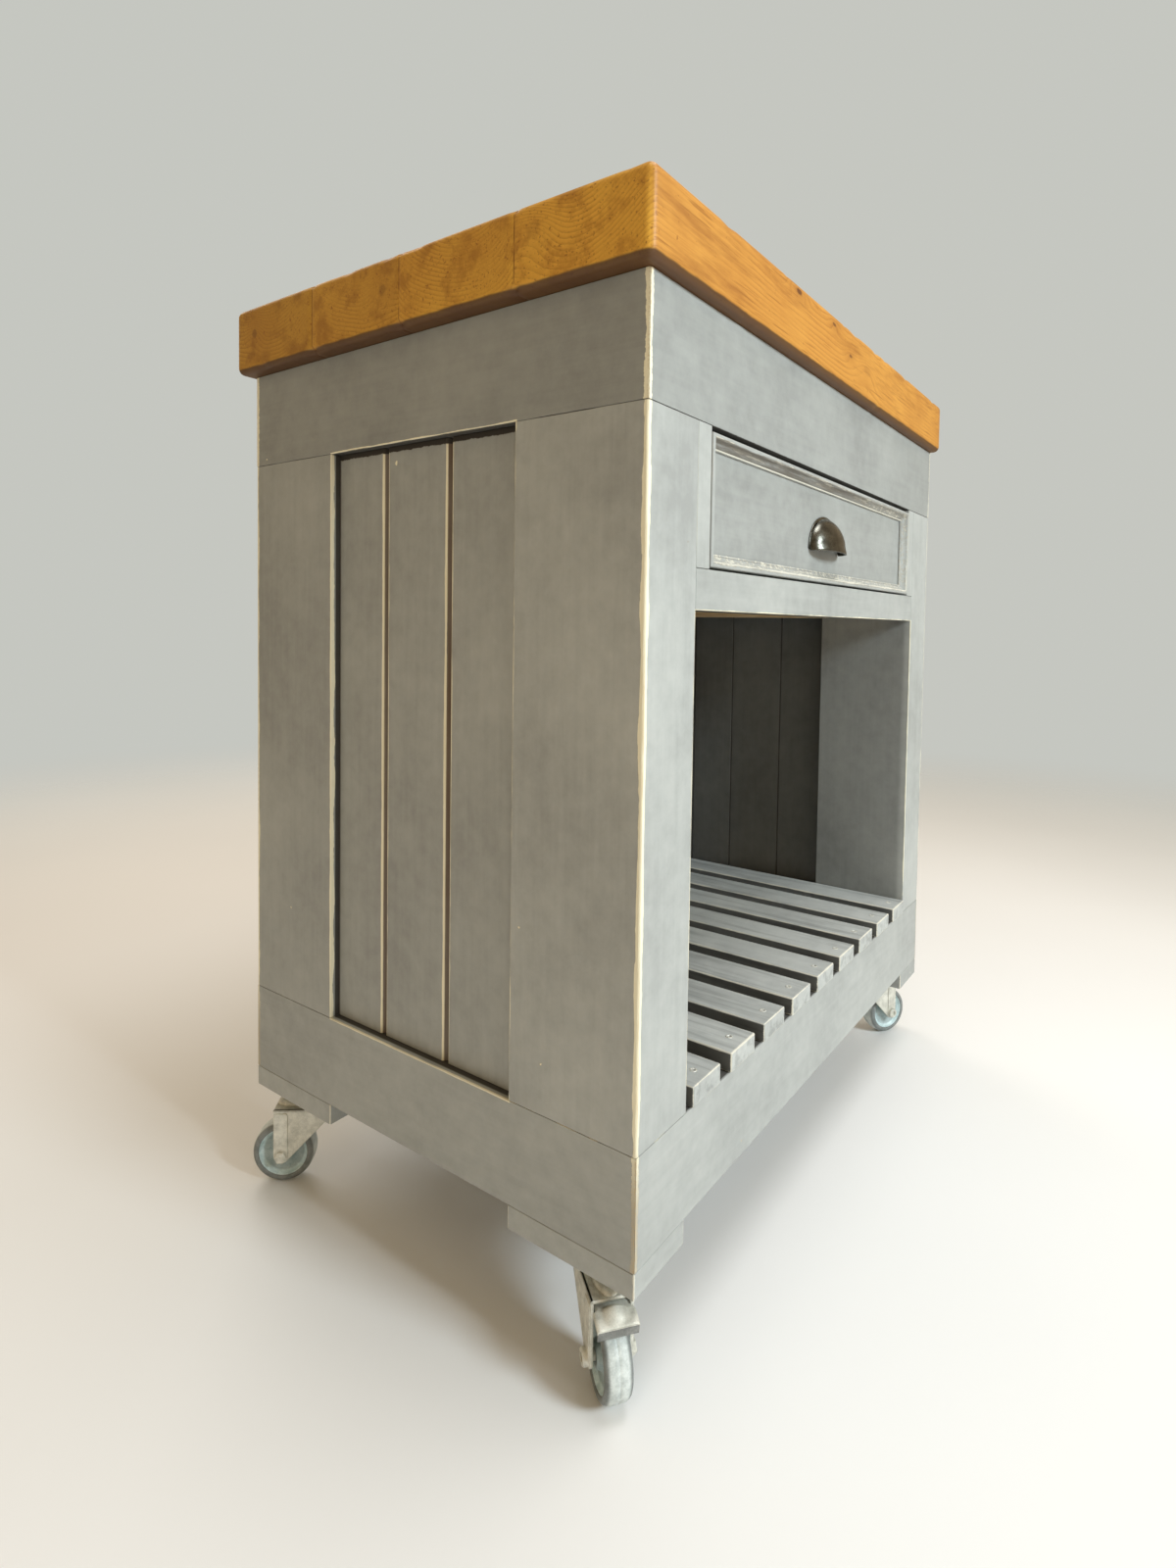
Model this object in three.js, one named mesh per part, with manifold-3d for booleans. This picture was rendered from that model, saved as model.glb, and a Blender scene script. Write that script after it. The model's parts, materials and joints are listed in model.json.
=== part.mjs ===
// Kitchen island cart: a solid pine worktop on a painted timber body with one inset drawer,
// an open slatted shelf, boarded sides and back, and four swivel castors (two of them braked).
//
// Millimetres, +Z up. X runs along the cart's width, the drawer opens towards -Y, and the
// origin is on the floor under the middle of the body.

import * as THREE from "three";
import { mergeVertices } from "three/addons/utils/BufferGeometryUtils.js";
import Module from "manifold-3d";

const wasm = await Module();
wasm.setup();

// ---------------------------------------------------------------- driving dimensions

// Body, from the floor up: castor, foot block, base rails, posts, top rails, worktop.
const BODY_WIDTH = 732;
const BODY_DEPTH = 480;
const CASTOR_HEIGHT = 94;
const FOOT_HEIGHT = 20.5;
const BASE_RAIL_HEIGHT = 86.5;
const POST_HEIGHT = 544;
const TOP_RAIL_HEIGHT = 91;
const WORKTOP_THICKNESS = 64;

// Worktop overhang past the body, and its rounding.
const OVERHANG_LEFT = 16;
const OVERHANG_RIGHT = 7;
const OVERHANG_FRONT = 11;
const OVERHANG_BACK = 11;
const WORKTOP_EDGE_RADIUS = 7;
const WORKTOP_CORNER_RADIUS = 9;
const WORKTOP_EDGE_SEGMENTS = 3;
const WORKTOP_CORNER_SEGMENTS = 4;

// Body timber sections.
const POST_WIDTH = 72;
const POST_DEPTH = 124;
const RAIL_THICKNESS = 44;

// Tongue-and-groove cladding.
const PANEL_RECESS = 10;
const PANEL_THICKNESS = 12;
const SIDE_BOARD_JOINTS = [-33, 49];
const BACK_BOARD_COUNT = 7;
const GROOVE_HALF_WIDTH = 4;
const GROOVE_DEPTH = 4;
const INNER_GROOVE_HALF_WIDTH = 1.4;
const INNER_GROOVE_DEPTH = 1.4;

// Shelf slats, which run front to back.
const SLAT_COUNT = 9;
const SLAT_WIDTH = 47;
const SLAT_THICKNESS = 18;
const SLAT_PROUD = 2;
const FIRST_SLAT_GAP = 8;
const LAST_SLAT_GAP = 1;
const SLAT_BACK_GAP = 2;

// Face frame round the drawer.
const MID_RAIL_HEIGHT = 33;
const MID_RAIL_THICKNESS = 32;
const CAVITY_HEIGHT = 398;
const FILLER_WIDTH = 21.5;
const FILLER_THICKNESS = 22;
const RUNNER_WIDTH = 34;
const RUNNER_DROP = 3;

// Drawer.
const DRAWER_SIDE_CLEARANCE = 1.5;
const DRAWER_TOP_CLEARANCE = 4;
const DRAWER_BOTTOM_CLEARANCE = 2;
const DRAWER_FRONT_THICKNESS = 18;
const MOULDING_WIDTH = 12;
const MOULDING_PROUD = 9;
const DRAWER_BOARD_THICKNESS = 12;
const DRAWER_BOX_DEPTH = 400;
const DRAWER_BOX_HEIGHT = 92;
const DRAWER_BOX_INSET = 3;
const DRAWER_BOTTOM_THICKNESS = 6;
const DRAWER_BOTTOM_RAISE = 8;
const DRAWER_BACK_DROP = 6;
const DRAWER_RUNNER_GAP = 0.4;

// Cup pull.
const PULL_OFFSET_X = -6;
const PULL_LIP_ABOVE_FRAME = 34;
const PULL_HALF_WIDTH = 43;
const PULL_HEIGHT = 38;
const PULL_PROJECTION = 20;
const PULL_WALL = 2;
const PULL_SEGMENTS = { around: 32, down: 20 };

// Castors.
const CASTOR_INSET_X = 37;
const CASTOR_INSET_Y = 61;
const PLATE_SIZE = 60;
const PLATE_THICKNESS = 3;
const PLATE_HOLE_SPACING = 44;
const PLATE_HOLE_RADIUS = 3;
const PLATE_BOSS_RADIUS = 17;
const PLATE_BOSS_DEPTH = 6;
const RACE_RADIUS_TOP = 18;
const RACE_RADIUS_BOTTOM = 22;
const CROWN_DEPTH = 14;
const FORK_METAL = 2.6;
const FORK_INNER_HALF_WIDTH = 14.4;
const FORK_LEADING_EDGE = 6;
const FORK_LEADING_DROP = 14;
const FORK_EYE_RADIUS = 8;
const FORK_RIB_WIDTH = 14;
const FORK_RIB_PROUD = 1;
const FORK_RIB_INSET = 1;
const WHEEL_TRAIL = 38;
const WHEEL_RADIUS = 31.5;
const WHEEL_WIDTH = 23;
const WHEEL_SHOULDER = 3.2;
const WHEEL_RIM_RADIUS = 26;
const WHEEL_WEB_RECESS = 5;
const WHEEL_STEP = 1.5;
const WHEEL_HUB_RADIUS = 11;
const WHEEL_BORE_RADIUS = 4.3;
const AXLE_RADIUS = 4;
const AXLE_HEAD_RADIUS = 7;
const AXLE_HEAD_HEIGHT = 4.5;
const AXLE_HEAD_CHAMFER = 1;
const WHEEL_SEGMENTS = 32;
const ROUND_SEGMENTS = 20;
const HOLE_SEGMENTS = 12;
const LEG_CURVE_SEGMENTS = 8;

// Brake pedal, hinged between the fork's legs above the wheel.
const PEDAL_PIVOT = { trail: 12, drop: 23.5 };
const PEDAL_PIVOT_RADIUS = 2.6;
const PEDAL_METAL = 2.2;
const PEDAL_TOP_DROP = 20.5;
const PEDAL_INNER_WIDTH = 26;
const PEDAL_OUTER_WIDTH = 33;
const PEDAL_SHOULDER_TRAIL = 47.5;
const PEDAL_END_TRAIL = 64;
const PEDAL_LIP_DROP = 9;
const BRAKE_SHOE = { from: 31, to: 44, width: 16, depth: 4 };

// The four corners: where each is, which way its castor's wheel trails (degrees from +X),
// and whether that castor has a brake.
const CORNERS = [
  { name: "front_left", x: -1, y: -1, trail: -128, braked: true },
  { name: "front_right", x: 1, y: -1, trail: -28, braked: false },
  { name: "rear_left", x: -1, y: 1, trail: 130, braked: false },
  { name: "rear_right", x: 1, y: 1, trail: 205, braked: true },
];

// Every touching face stands back by this much, so neighbours keep twice it between them.
const FIT = 0.15;

// Corners of a mesh closer than this are one point.
const WELD_DISTANCE = 1e-4;

// ---------------------------------------------------------------- derived levels

const FOOT_BOTTOM = CASTOR_HEIGHT;
const FOOT_TOP = FOOT_BOTTOM + FOOT_HEIGHT;
const BASE_TOP = FOOT_TOP + BASE_RAIL_HEIGHT;
const POST_TOP = BASE_TOP + POST_HEIGHT;
const BODY_TOP = POST_TOP + TOP_RAIL_HEIGHT;
const WORKTOP_TOP = BODY_TOP + WORKTOP_THICKNESS;
const MID_RAIL_BOTTOM = BASE_TOP + CAVITY_HEIGHT;
const MID_RAIL_TOP = MID_RAIL_BOTTOM + MID_RAIL_HEIGHT;

const LEFT = -BODY_WIDTH / 2;
const RIGHT = BODY_WIDTH / 2;
const FRONT = -BODY_DEPTH / 2;
const BACK = BODY_DEPTH / 2;
const OPENING_HALF = BODY_WIDTH / 2 - POST_WIDTH;
const PANEL_INNER_BACK = BACK - PANEL_RECESS - PANEL_THICKNESS;

// ---------------------------------------------------------------- materials

const FINISHES = {
  pine: { color: 0xc98d42, roughness: 0.45, metalness: 0 },
  paint: { color: 0xb9bcb6, roughness: 0.7, metalness: 0 },
  rawPine: { color: 0xd8bf94, roughness: 0.7, metalness: 0 },
  zinc: { color: 0xc4c2b8, roughness: 0.35, metalness: 0.9 },
  iron: { color: 0x4a4640, roughness: 0.4, metalness: 0.85 },
  rubber: { color: 0xb4c3c4, roughness: 0.6, metalness: 0 },
};

function finish(name) {
  return new THREE.MeshStandardMaterial(FINISHES[name]);
}

// ---------------------------------------------------------------- geometry helpers

function block(x, y, z) {
  const geometry = new THREE.BoxGeometry(x[1] - x[0], y[1] - y[0], z[1] - z[0]);
  geometry.translate((x[0] + x[1]) / 2, (y[0] + y[1]) / 2, (z[0] + z[1]) / 2);
  return geometry;
}

// A board between nominal faces, standing back by FIT on each of them.
function board(x, y, z) {
  const fitted = (span) => [span[0] + FIT, span[1] - FIT];
  return block(fitted(x), fitted(y), fitted(z));
}

function outline(points) {
  return new THREE.Shape(points.map(([x, y]) => new THREE.Vector2(x, y)));
}

// A plan outline raised from z0 to z1.
function raised(shape, z0, z1) {
  const geometry = new THREE.ExtrudeGeometry(shape, { depth: z1 - z0, bevelEnabled: false });
  geometry.translate(0, 0, z0);
  return geometry;
}

function cylinderZ(radius, z0, z1, segments = ROUND_SEGMENTS, radiusTop = radius) {
  const geometry = new THREE.CylinderGeometry(radiusTop, radius, z1 - z0, segments);
  geometry.rotateX(Math.PI / 2);
  geometry.translate(0, 0, (z0 + z1) / 2);
  return geometry;
}

function cylinderY(radius, halfLength, x, z, segments = ROUND_SEGMENTS) {
  const geometry = new THREE.CylinderGeometry(radius, radius, 2 * halfLength, segments);
  geometry.translate(x, 0, z);
  return geometry;
}

function toSolid(geometry) {
  const bare = geometry.clone();
  bare.deleteAttribute("normal");
  bare.deleteAttribute("uv");
  const merged = mergeVertices(bare, WELD_DISTANCE);
  return new wasm.Manifold(
    new wasm.Mesh({
      numProp: 3,
      vertProperties: new Float32Array(merged.attributes.position.array),
      triVerts: new Uint32Array(merged.index.array),
    }),
  );
}

function fromSolid(solid) {
  const mesh = solid.getMesh();
  const geometry = new THREE.BufferGeometry();
  geometry.setAttribute("position", new THREE.BufferAttribute(mesh.vertProperties, 3));
  geometry.setIndex(new THREE.BufferAttribute(mesh.triVerts, 1));
  return geometry;
}

function joined(geometries) {
  return geometries.map(toSolid).reduce((whole, piece) => whole.add(piece));
}

function cut(solid, geometries) {
  return geometries.map(toSolid).reduce((whole, tool) => whole.subtract(tool), solid);
}

function named(name, geometry, finishName) {
  const mesh = new THREE.Mesh(geometry, finish(finishName));
  mesh.name = name;
  return mesh;
}

// The four faces of the body. A piece is drawn with its outer face on y = 0 and its thickness
// towards +y, then turned to face outwards from the side that it belongs to.
const SIDES = {
  front: { x: 0, y: FRONT, turn: 0, length: BODY_WIDTH },
  back: { x: 0, y: BACK, turn: Math.PI, length: BODY_WIDTH },
  left: { x: LEFT, y: 0, turn: -Math.PI / 2, length: BODY_DEPTH },
  right: { x: RIGHT, y: 0, turn: Math.PI / 2, length: BODY_DEPTH },
};

function onSide(side, mesh) {
  const place = SIDES[side];
  mesh.position.set(place.x, place.y, 0);
  mesh.rotation.z = place.turn;
  return mesh;
}

// ---------------------------------------------------------------- worktop

function makeWorktop() {
  const x0 = LEFT - OVERHANG_LEFT;
  const x1 = RIGHT + OVERHANG_RIGHT;
  const y0 = FRONT - OVERHANG_FRONT;
  const y1 = BACK + OVERHANG_BACK;
  const r = WORKTOP_CORNER_RADIUS;
  const shape = new THREE.Shape();
  shape.moveTo(x0 + r, y0);
  shape.lineTo(x1 - r, y0);
  shape.absarc(x1 - r, y0 + r, r, -Math.PI / 2, 0);
  shape.lineTo(x1, y1 - r);
  shape.absarc(x1 - r, y1 - r, r, 0, Math.PI / 2);
  shape.lineTo(x0 + r, y1);
  shape.absarc(x0 + r, y1 - r, r, Math.PI / 2, Math.PI);
  shape.lineTo(x0, y0 + r);
  shape.absarc(x0 + r, y0 + r, r, Math.PI, 1.5 * Math.PI);
  const geometry = new THREE.ExtrudeGeometry(shape, {
    depth: WORKTOP_THICKNESS - FIT - 2 * WORKTOP_EDGE_RADIUS,
    bevelThickness: WORKTOP_EDGE_RADIUS,
    bevelSize: WORKTOP_EDGE_RADIUS,
    bevelOffset: -WORKTOP_EDGE_RADIUS,
    bevelSegments: WORKTOP_EDGE_SEGMENTS,
    curveSegments: WORKTOP_CORNER_SEGMENTS,
  });
  geometry.translate(0, 0, BODY_TOP + FIT + WORKTOP_EDGE_RADIUS);
  return named("worktop", geometry, "pine");
}

// ---------------------------------------------------------------- body frame

// A rail with mitred ends. Each sloping end stands back by FIT square to its own face.
function mitredRail(length, z0, z1) {
  const slope = FIT * Math.SQRT2;
  const outer = length / 2 - FIT - slope;
  const inner = length / 2 - (RAIL_THICKNESS - FIT) - slope;
  const shape = outline([
    [-outer, FIT],
    [outer, FIT],
    [inner, RAIL_THICKNESS - FIT],
    [-inner, RAIL_THICKNESS - FIT],
  ]);
  return raised(shape, z0 + FIT, z1 - FIT);
}

function makeRails() {
  const levels = { base_rail: [FOOT_TOP, BASE_TOP], top_rail: [POST_TOP, BODY_TOP] };
  return Object.entries(levels).flatMap(([level, [z0, z1]]) =>
    Object.keys(SIDES).map((side) => {
      const rail = mitredRail(SIDES[side].length, z0, z1);
      return onSide(side, named(`${level}_${side}`, rail, "paint"));
    }),
  );
}

function cornerSpans({ x, y }) {
  const outerX = (x * BODY_WIDTH) / 2;
  const outerY = (y * BODY_DEPTH) / 2;
  const ordered = (a, b) => [Math.min(a, b), Math.max(a, b)];
  return {
    x: ordered(outerX, outerX - x * POST_WIDTH),
    y: ordered(outerY, outerY - y * POST_DEPTH),
  };
}

function makeCorners() {
  return CORNERS.flatMap((corner) => {
    const span = cornerSpans(corner);
    const post = board(span.x, span.y, [BASE_TOP, POST_TOP]);
    const foot = board(span.x, span.y, [FOOT_BOTTOM, FOOT_TOP]);
    return [
      named(`post_${corner.name}`, post, "paint"),
      named(`foot_block_${corner.name}`, foot, "paint"),
    ];
  });
}

// Tongue-and-groove boards as one panel: a V groove at each joint, wide outside, fine inside.
function boardedPanel(width, joints) {
  const end = width / 2 - FIT;
  const inner = PANEL_RECESS + PANEL_THICKNESS;
  const rightToLeft = [...joints].sort((a, b) => b - a);
  const leftToRight = [...joints].sort((a, b) => a - b);
  const outerFace = leftToRight.flatMap((x) => [
    [x - GROOVE_HALF_WIDTH, PANEL_RECESS],
    [x, PANEL_RECESS + GROOVE_DEPTH],
    [x + GROOVE_HALF_WIDTH, PANEL_RECESS],
  ]);
  const innerFace = rightToLeft.flatMap((x) => [
    [x + INNER_GROOVE_HALF_WIDTH, inner],
    [x, inner - INNER_GROOVE_DEPTH],
    [x - INNER_GROOVE_HALF_WIDTH, inner],
  ]);
  const shape = outline([
    [-end, PANEL_RECESS],
    ...outerFace,
    [end, PANEL_RECESS],
    [end, inner],
    ...innerFace,
    [-end, inner],
  ]);
  return raised(shape, BASE_TOP + FIT, POST_TOP - FIT);
}

function makePanels() {
  const sideWidth = BODY_DEPTH - 2 * POST_DEPTH;
  const backWidth = 2 * OPENING_HALF;
  const backPitch = backWidth / BACK_BOARD_COUNT;
  const backJoints = [];
  for (let i = 1; i < BACK_BOARD_COUNT; i += 1) {
    backJoints.push(-OPENING_HALF + i * backPitch);
  }
  const mirrored = SIDE_BOARD_JOINTS.map((y) => -y);
  return [
    onSide("left", named("side_panel_left", boardedPanel(sideWidth, mirrored), "paint")),
    onSide("right", named("side_panel_right", boardedPanel(sideWidth, SIDE_BOARD_JOINTS), "paint")),
    onSide("back", named("back_panel", boardedPanel(backWidth, backJoints), "paint")),
  ];
}

// ---------------------------------------------------------------- shelf

function makeSlats() {
  const first = -OPENING_HALF + FIRST_SLAT_GAP;
  const last = OPENING_HALF - LAST_SLAT_GAP - SLAT_WIDTH;
  const pitch = (last - first) / (SLAT_COUNT - 1);
  const depth = [FRONT - SLAT_PROUD, PANEL_INNER_BACK - SLAT_BACK_GAP];
  const height = [BASE_TOP, BASE_TOP + SLAT_THICKNESS];
  const slats = [];
  for (let i = 0; i < SLAT_COUNT; i += 1) {
    const x = first + i * pitch;
    slats.push(named(`slat_${i + 1}`, board([x, x + SLAT_WIDTH], depth, height), "paint"));
  }
  return slats;
}

// ---------------------------------------------------------------- face frame and runners

function makeFaceFrame() {
  const midRail = board(
    [-OPENING_HALF, OPENING_HALF],
    [FRONT, FRONT + MID_RAIL_THICKNESS],
    [MID_RAIL_BOTTOM, MID_RAIL_TOP],
  );
  const pieces = [named("mid_rail", midRail, "paint")];
  for (const [side, sign] of [["left", -1], ["right", 1]]) {
    const outer = sign * OPENING_HALF;
    const across = (width) => [outer, outer - sign * width].sort((a, b) => a - b);
    const filler = board(
      across(FILLER_WIDTH),
      [FRONT, FRONT + FILLER_THICKNESS],
      [MID_RAIL_TOP, POST_TOP],
    );
    const runner = board(
      across(RUNNER_WIDTH),
      [FRONT + MID_RAIL_THICKNESS, PANEL_INNER_BACK],
      [MID_RAIL_BOTTOM + RUNNER_DROP, MID_RAIL_TOP],
    );
    pieces.push(named(`drawer_filler_${side}`, filler, "paint"));
    pieces.push(named(`drawer_runner_${side}`, runner, "rawPine"));
  }
  return pieces;
}

// ---------------------------------------------------------------- drawer

const DRAWER_HALF = OPENING_HALF - FILLER_WIDTH - DRAWER_SIDE_CLEARANCE;
const DRAWER_BOTTOM = MID_RAIL_TOP + DRAWER_BOTTOM_CLEARANCE;
const DRAWER_TOP = POST_TOP - DRAWER_TOP_CLEARANCE;
const FIELD_Y = FRONT + MOULDING_PROUD;
const BOX_FRONT = FIELD_Y + DRAWER_FRONT_THICKNESS;
const BOX_BACK = BOX_FRONT + DRAWER_BOX_DEPTH;
const BOX_HALF = DRAWER_HALF - DRAWER_BOX_INSET;
const BOX_BOTTOM = MID_RAIL_TOP + DRAWER_RUNNER_GAP;
const BOX_TOP = BOX_BOTTOM + DRAWER_BOX_HEIGHT;

// The raised border on the drawer's face: four mitred strips, glued into one frame.
function makeMoulding() {
  const shape = outline([
    [-DRAWER_HALF, DRAWER_BOTTOM],
    [DRAWER_HALF, DRAWER_BOTTOM],
    [DRAWER_HALF, DRAWER_TOP],
    [-DRAWER_HALF, DRAWER_TOP],
  ]);
  const x = DRAWER_HALF - MOULDING_WIDTH;
  const hole = new THREE.Path();
  hole.moveTo(-x, DRAWER_BOTTOM + MOULDING_WIDTH);
  hole.lineTo(x, DRAWER_BOTTOM + MOULDING_WIDTH);
  hole.lineTo(x, DRAWER_TOP - MOULDING_WIDTH);
  hole.lineTo(-x, DRAWER_TOP - MOULDING_WIDTH);
  hole.closePath();
  shape.holes.push(hole);
  const depth = MOULDING_PROUD - 2 * FIT;
  const geometry = new THREE.ExtrudeGeometry(shape, { depth, bevelEnabled: false });
  geometry.rotateX(Math.PI / 2);
  geometry.translate(0, FIELD_Y - FIT, 0);
  return named("drawer_moulding", geometry, "paint");
}

// A half-bowl opening downwards: a quarter of an ellipsoid, hollowed by a smaller one.
function makePull() {
  const bowl = (shrink) => {
    const geometry = new THREE.SphereGeometry(1, PULL_SEGMENTS.around, PULL_SEGMENTS.down);
    geometry.scale(PULL_HALF_WIDTH - shrink, PULL_PROJECTION - shrink, PULL_HEIGHT - shrink);
    return geometry;
  };
  const reach = 2 * PULL_HALF_WIDTH;
  const keep = block([-reach, reach], [-reach, -FIT], [0, reach]);
  const shell = cut(toSolid(bowl(0)), [bowl(PULL_WALL)]).intersect(toSolid(keep));
  const pull = named("cup_pull", fromSolid(shell), "iron");
  pull.position.set(PULL_OFFSET_X, FIELD_Y, MID_RAIL_TOP + PULL_LIP_ABOVE_FRAME);
  return pull;
}

function makeDrawer() {
  const innerHalf = BOX_HALF - DRAWER_BOARD_THICKNESS;
  const floor = BOX_BOTTOM + DRAWER_BOTTOM_RAISE;
  const floorSpan = [floor, floor + DRAWER_BOTTOM_THICKNESS];
  const backStart = BOX_BACK - DRAWER_BOARD_THICKNESS;
  const front = board(
    [-DRAWER_HALF, DRAWER_HALF],
    [FIELD_Y, BOX_FRONT],
    [DRAWER_BOTTOM, DRAWER_TOP],
  );
  const left = board([-BOX_HALF, -innerHalf], [BOX_FRONT, BOX_BACK], [BOX_BOTTOM, BOX_TOP]);
  const right = board([innerHalf, BOX_HALF], [BOX_FRONT, BOX_BACK], [BOX_BOTTOM, BOX_TOP]);
  const back = board(
    [-innerHalf, innerHalf],
    [backStart, BOX_BACK],
    [BOX_BOTTOM, BOX_TOP - DRAWER_BACK_DROP],
  );
  const bottom = board([-innerHalf, innerHalf], [BOX_FRONT, backStart], floorSpan);
  return [
    named("drawer_front", front, "paint"),
    named("drawer_side_left", left, "rawPine"),
    named("drawer_side_right", right, "rawPine"),
    named("drawer_back", back, "rawPine"),
    named("drawer_bottom", bottom, "rawPine"),
    makeMoulding(),
    makePull(),
  ];
}

// ---------------------------------------------------------------- castors

// Each castor is drawn with its swivel axis on Z, its plate's top face on z = 0 and its wheel
// trailing towards +X, with the axle along Y.
const AXLE_DROP = CASTOR_HEIGHT - WHEEL_RADIUS;
const FORK_OUTER = FORK_INNER_HALF_WIDTH + FORK_METAL;
const FORK_END_TRAIL = WHEEL_TRAIL + FORK_EYE_RADIUS;

function makePlate(name) {
  const half = PLATE_SIZE / 2;
  const plate = block([-half, half], [-half, half], [-PLATE_THICKNESS, -FIT]);
  const boss = cylinderZ(PLATE_BOSS_RADIUS, -PLATE_BOSS_DEPTH, -PLATE_THICKNESS / 2);
  const holes = [];
  for (const sx of [-1, 1]) {
    for (const sy of [-1, 1]) {
      const hole = cylinderZ(PLATE_HOLE_RADIUS, -2 * PLATE_THICKNESS, PLATE_THICKNESS, HOLE_SEGMENTS);
      hole.translate((sx * PLATE_HOLE_SPACING) / 2, (sy * PLATE_HOLE_SPACING) / 2, 0);
      holes.push(hole);
    }
  }
  return named(`castor_plate_${name}`, fromSolid(cut(joined([plate, boss]), holes)), "zinc");
}

// One leg in side view: from the crown down to a round eye at the axle, sloping forwards.
function legOutline() {
  const eye = new THREE.Vector2(WHEEL_TRAIL, -AXLE_DROP);
  const shoulder = new THREE.Vector2(-FORK_LEADING_EDGE, -CROWN_DEPTH - FORK_LEADING_DROP);
  const away = shoulder.clone().sub(eye);
  const tangent = away.angle() + Math.acos(FORK_EYE_RADIUS / away.length());
  const shape = new THREE.Shape();
  shape.moveTo(-FORK_LEADING_EDGE, -CROWN_DEPTH);
  shape.lineTo(shoulder.x, shoulder.y);
  shape.lineTo(
    eye.x + FORK_EYE_RADIUS * Math.cos(tangent),
    eye.y + FORK_EYE_RADIUS * Math.sin(tangent),
  );
  shape.absarc(eye.x, eye.y, FORK_EYE_RADIUS, tangent, 2 * Math.PI);
  shape.lineTo(FORK_END_TRAIL, -CROWN_DEPTH);
  return shape;
}

// The raised band down the leg, straight above the axle.
function ribOutline() {
  const x1 = FORK_END_TRAIL - FORK_RIB_INSET;
  const x0 = x1 - FORK_RIB_WIDTH;
  return outline([
    [x0, -AXLE_DROP + FORK_EYE_RADIUS],
    [x1, -AXLE_DROP + FORK_EYE_RADIUS],
    [x1, -CROWN_DEPTH - FORK_METAL],
    [x0, -CROWN_DEPTH - FORK_METAL],
  ]);
}

// An outline in the X-Z plane, given a thickness from y0 to y1.
function upright(shape, y0, y1) {
  const geometry = new THREE.ExtrudeGeometry(shape, {
    depth: y1 - y0,
    bevelEnabled: false,
    curveSegments: LEG_CURVE_SEGMENTS,
  });
  geometry.rotateX(Math.PI / 2);
  geometry.translate(0, y1, 0);
  return geometry;
}

function makeFork(name) {
  const legs = [-1, 1].flatMap((side) => {
    const spans = [
      [FORK_INNER_HALF_WIDTH, FORK_OUTER],
      [FORK_OUTER - FORK_METAL / 2, FORK_OUTER + FORK_RIB_PROUD],
    ].map(([inner, outer]) => [side * inner, side * outer].sort((a, b) => a - b));
    return [upright(legOutline(), ...spans[0]), upright(ribOutline(), ...spans[1])];
  });
  const crown = block(
    [-RACE_RADIUS_BOTTOM, FORK_END_TRAIL],
    [-FORK_OUTER, FORK_OUTER],
    [-CROWN_DEPTH - FORK_METAL, -CROWN_DEPTH],
  );
  const race = cylinderZ(
    RACE_RADIUS_BOTTOM,
    -CROWN_DEPTH - FORK_METAL,
    -PLATE_BOSS_DEPTH - 2 * FIT,
    ROUND_SEGMENTS,
    RACE_RADIUS_TOP,
  );
  const eyes = cylinderY(WHEEL_BORE_RADIUS, 2 * FORK_OUTER, WHEEL_TRAIL, -AXLE_DROP);
  return named(`castor_fork_${name}`, fromSolid(cut(joined([crown, race, ...legs]), [eyes])), "zinc");
}

// Rubber tyre on a dished centre, as one moulding turned about the axle.
function makeWheel(name) {
  const half = WHEEL_WIDTH / 2;
  const web = half - WHEEL_WEB_RECESS;
  const face = half - WHEEL_STEP / 2;
  const halfProfile = [
    [WHEEL_BORE_RADIUS, half],
    [WHEEL_HUB_RADIUS - WHEEL_STEP, half],
    [WHEEL_HUB_RADIUS, web],
    [WHEEL_RIM_RADIUS - WHEEL_STEP, web],
    [WHEEL_RIM_RADIUS, face],
    [WHEEL_RADIUS - WHEEL_SHOULDER, face],
    [WHEEL_RADIUS - WHEEL_SHOULDER / 3, half - WHEEL_SHOULDER / 2],
    [WHEEL_RADIUS, face - WHEEL_SHOULDER],
  ];
  const mirroredHalf = halfProfile.map(([r, y]) => [r, -y]).reverse();
  const points = [...halfProfile, ...mirroredHalf].map(([r, y]) => new THREE.Vector2(r, y));
  points.push(points[0].clone());
  const geometry = new THREE.LatheGeometry(points.reverse(), WHEEL_SEGMENTS);
  const wheel = named(`castor_wheel_${name}`, geometry, "rubber");
  wheel.position.set(WHEEL_TRAIL, 0, -AXLE_DROP);
  return wheel;
}

function makeAxle(name) {
  const seat = FORK_OUTER + FIT;
  const end = seat + AXLE_HEAD_HEIGHT;
  const rim = AXLE_HEAD_RADIUS - AXLE_HEAD_CHAMFER;
  const chamfer = end - AXLE_HEAD_CHAMFER;
  const profile = [
    [0, -end],
    [rim, -end],
    [AXLE_HEAD_RADIUS, -chamfer],
    [AXLE_HEAD_RADIUS, -seat],
    [AXLE_RADIUS, -seat],
    [AXLE_RADIUS, seat],
    [AXLE_HEAD_RADIUS, seat],
    [AXLE_HEAD_RADIUS, chamfer],
    [rim, end],
    [0, end],
  ];
  const points = profile.map(([r, y]) => new THREE.Vector2(r, y));
  const axle = named(`castor_axle_${name}`, new THREE.LatheGeometry(points, ROUND_SEGMENTS), "zinc");
  axle.position.set(WHEEL_TRAIL, 0, -AXLE_DROP);
  return axle;
}

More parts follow.
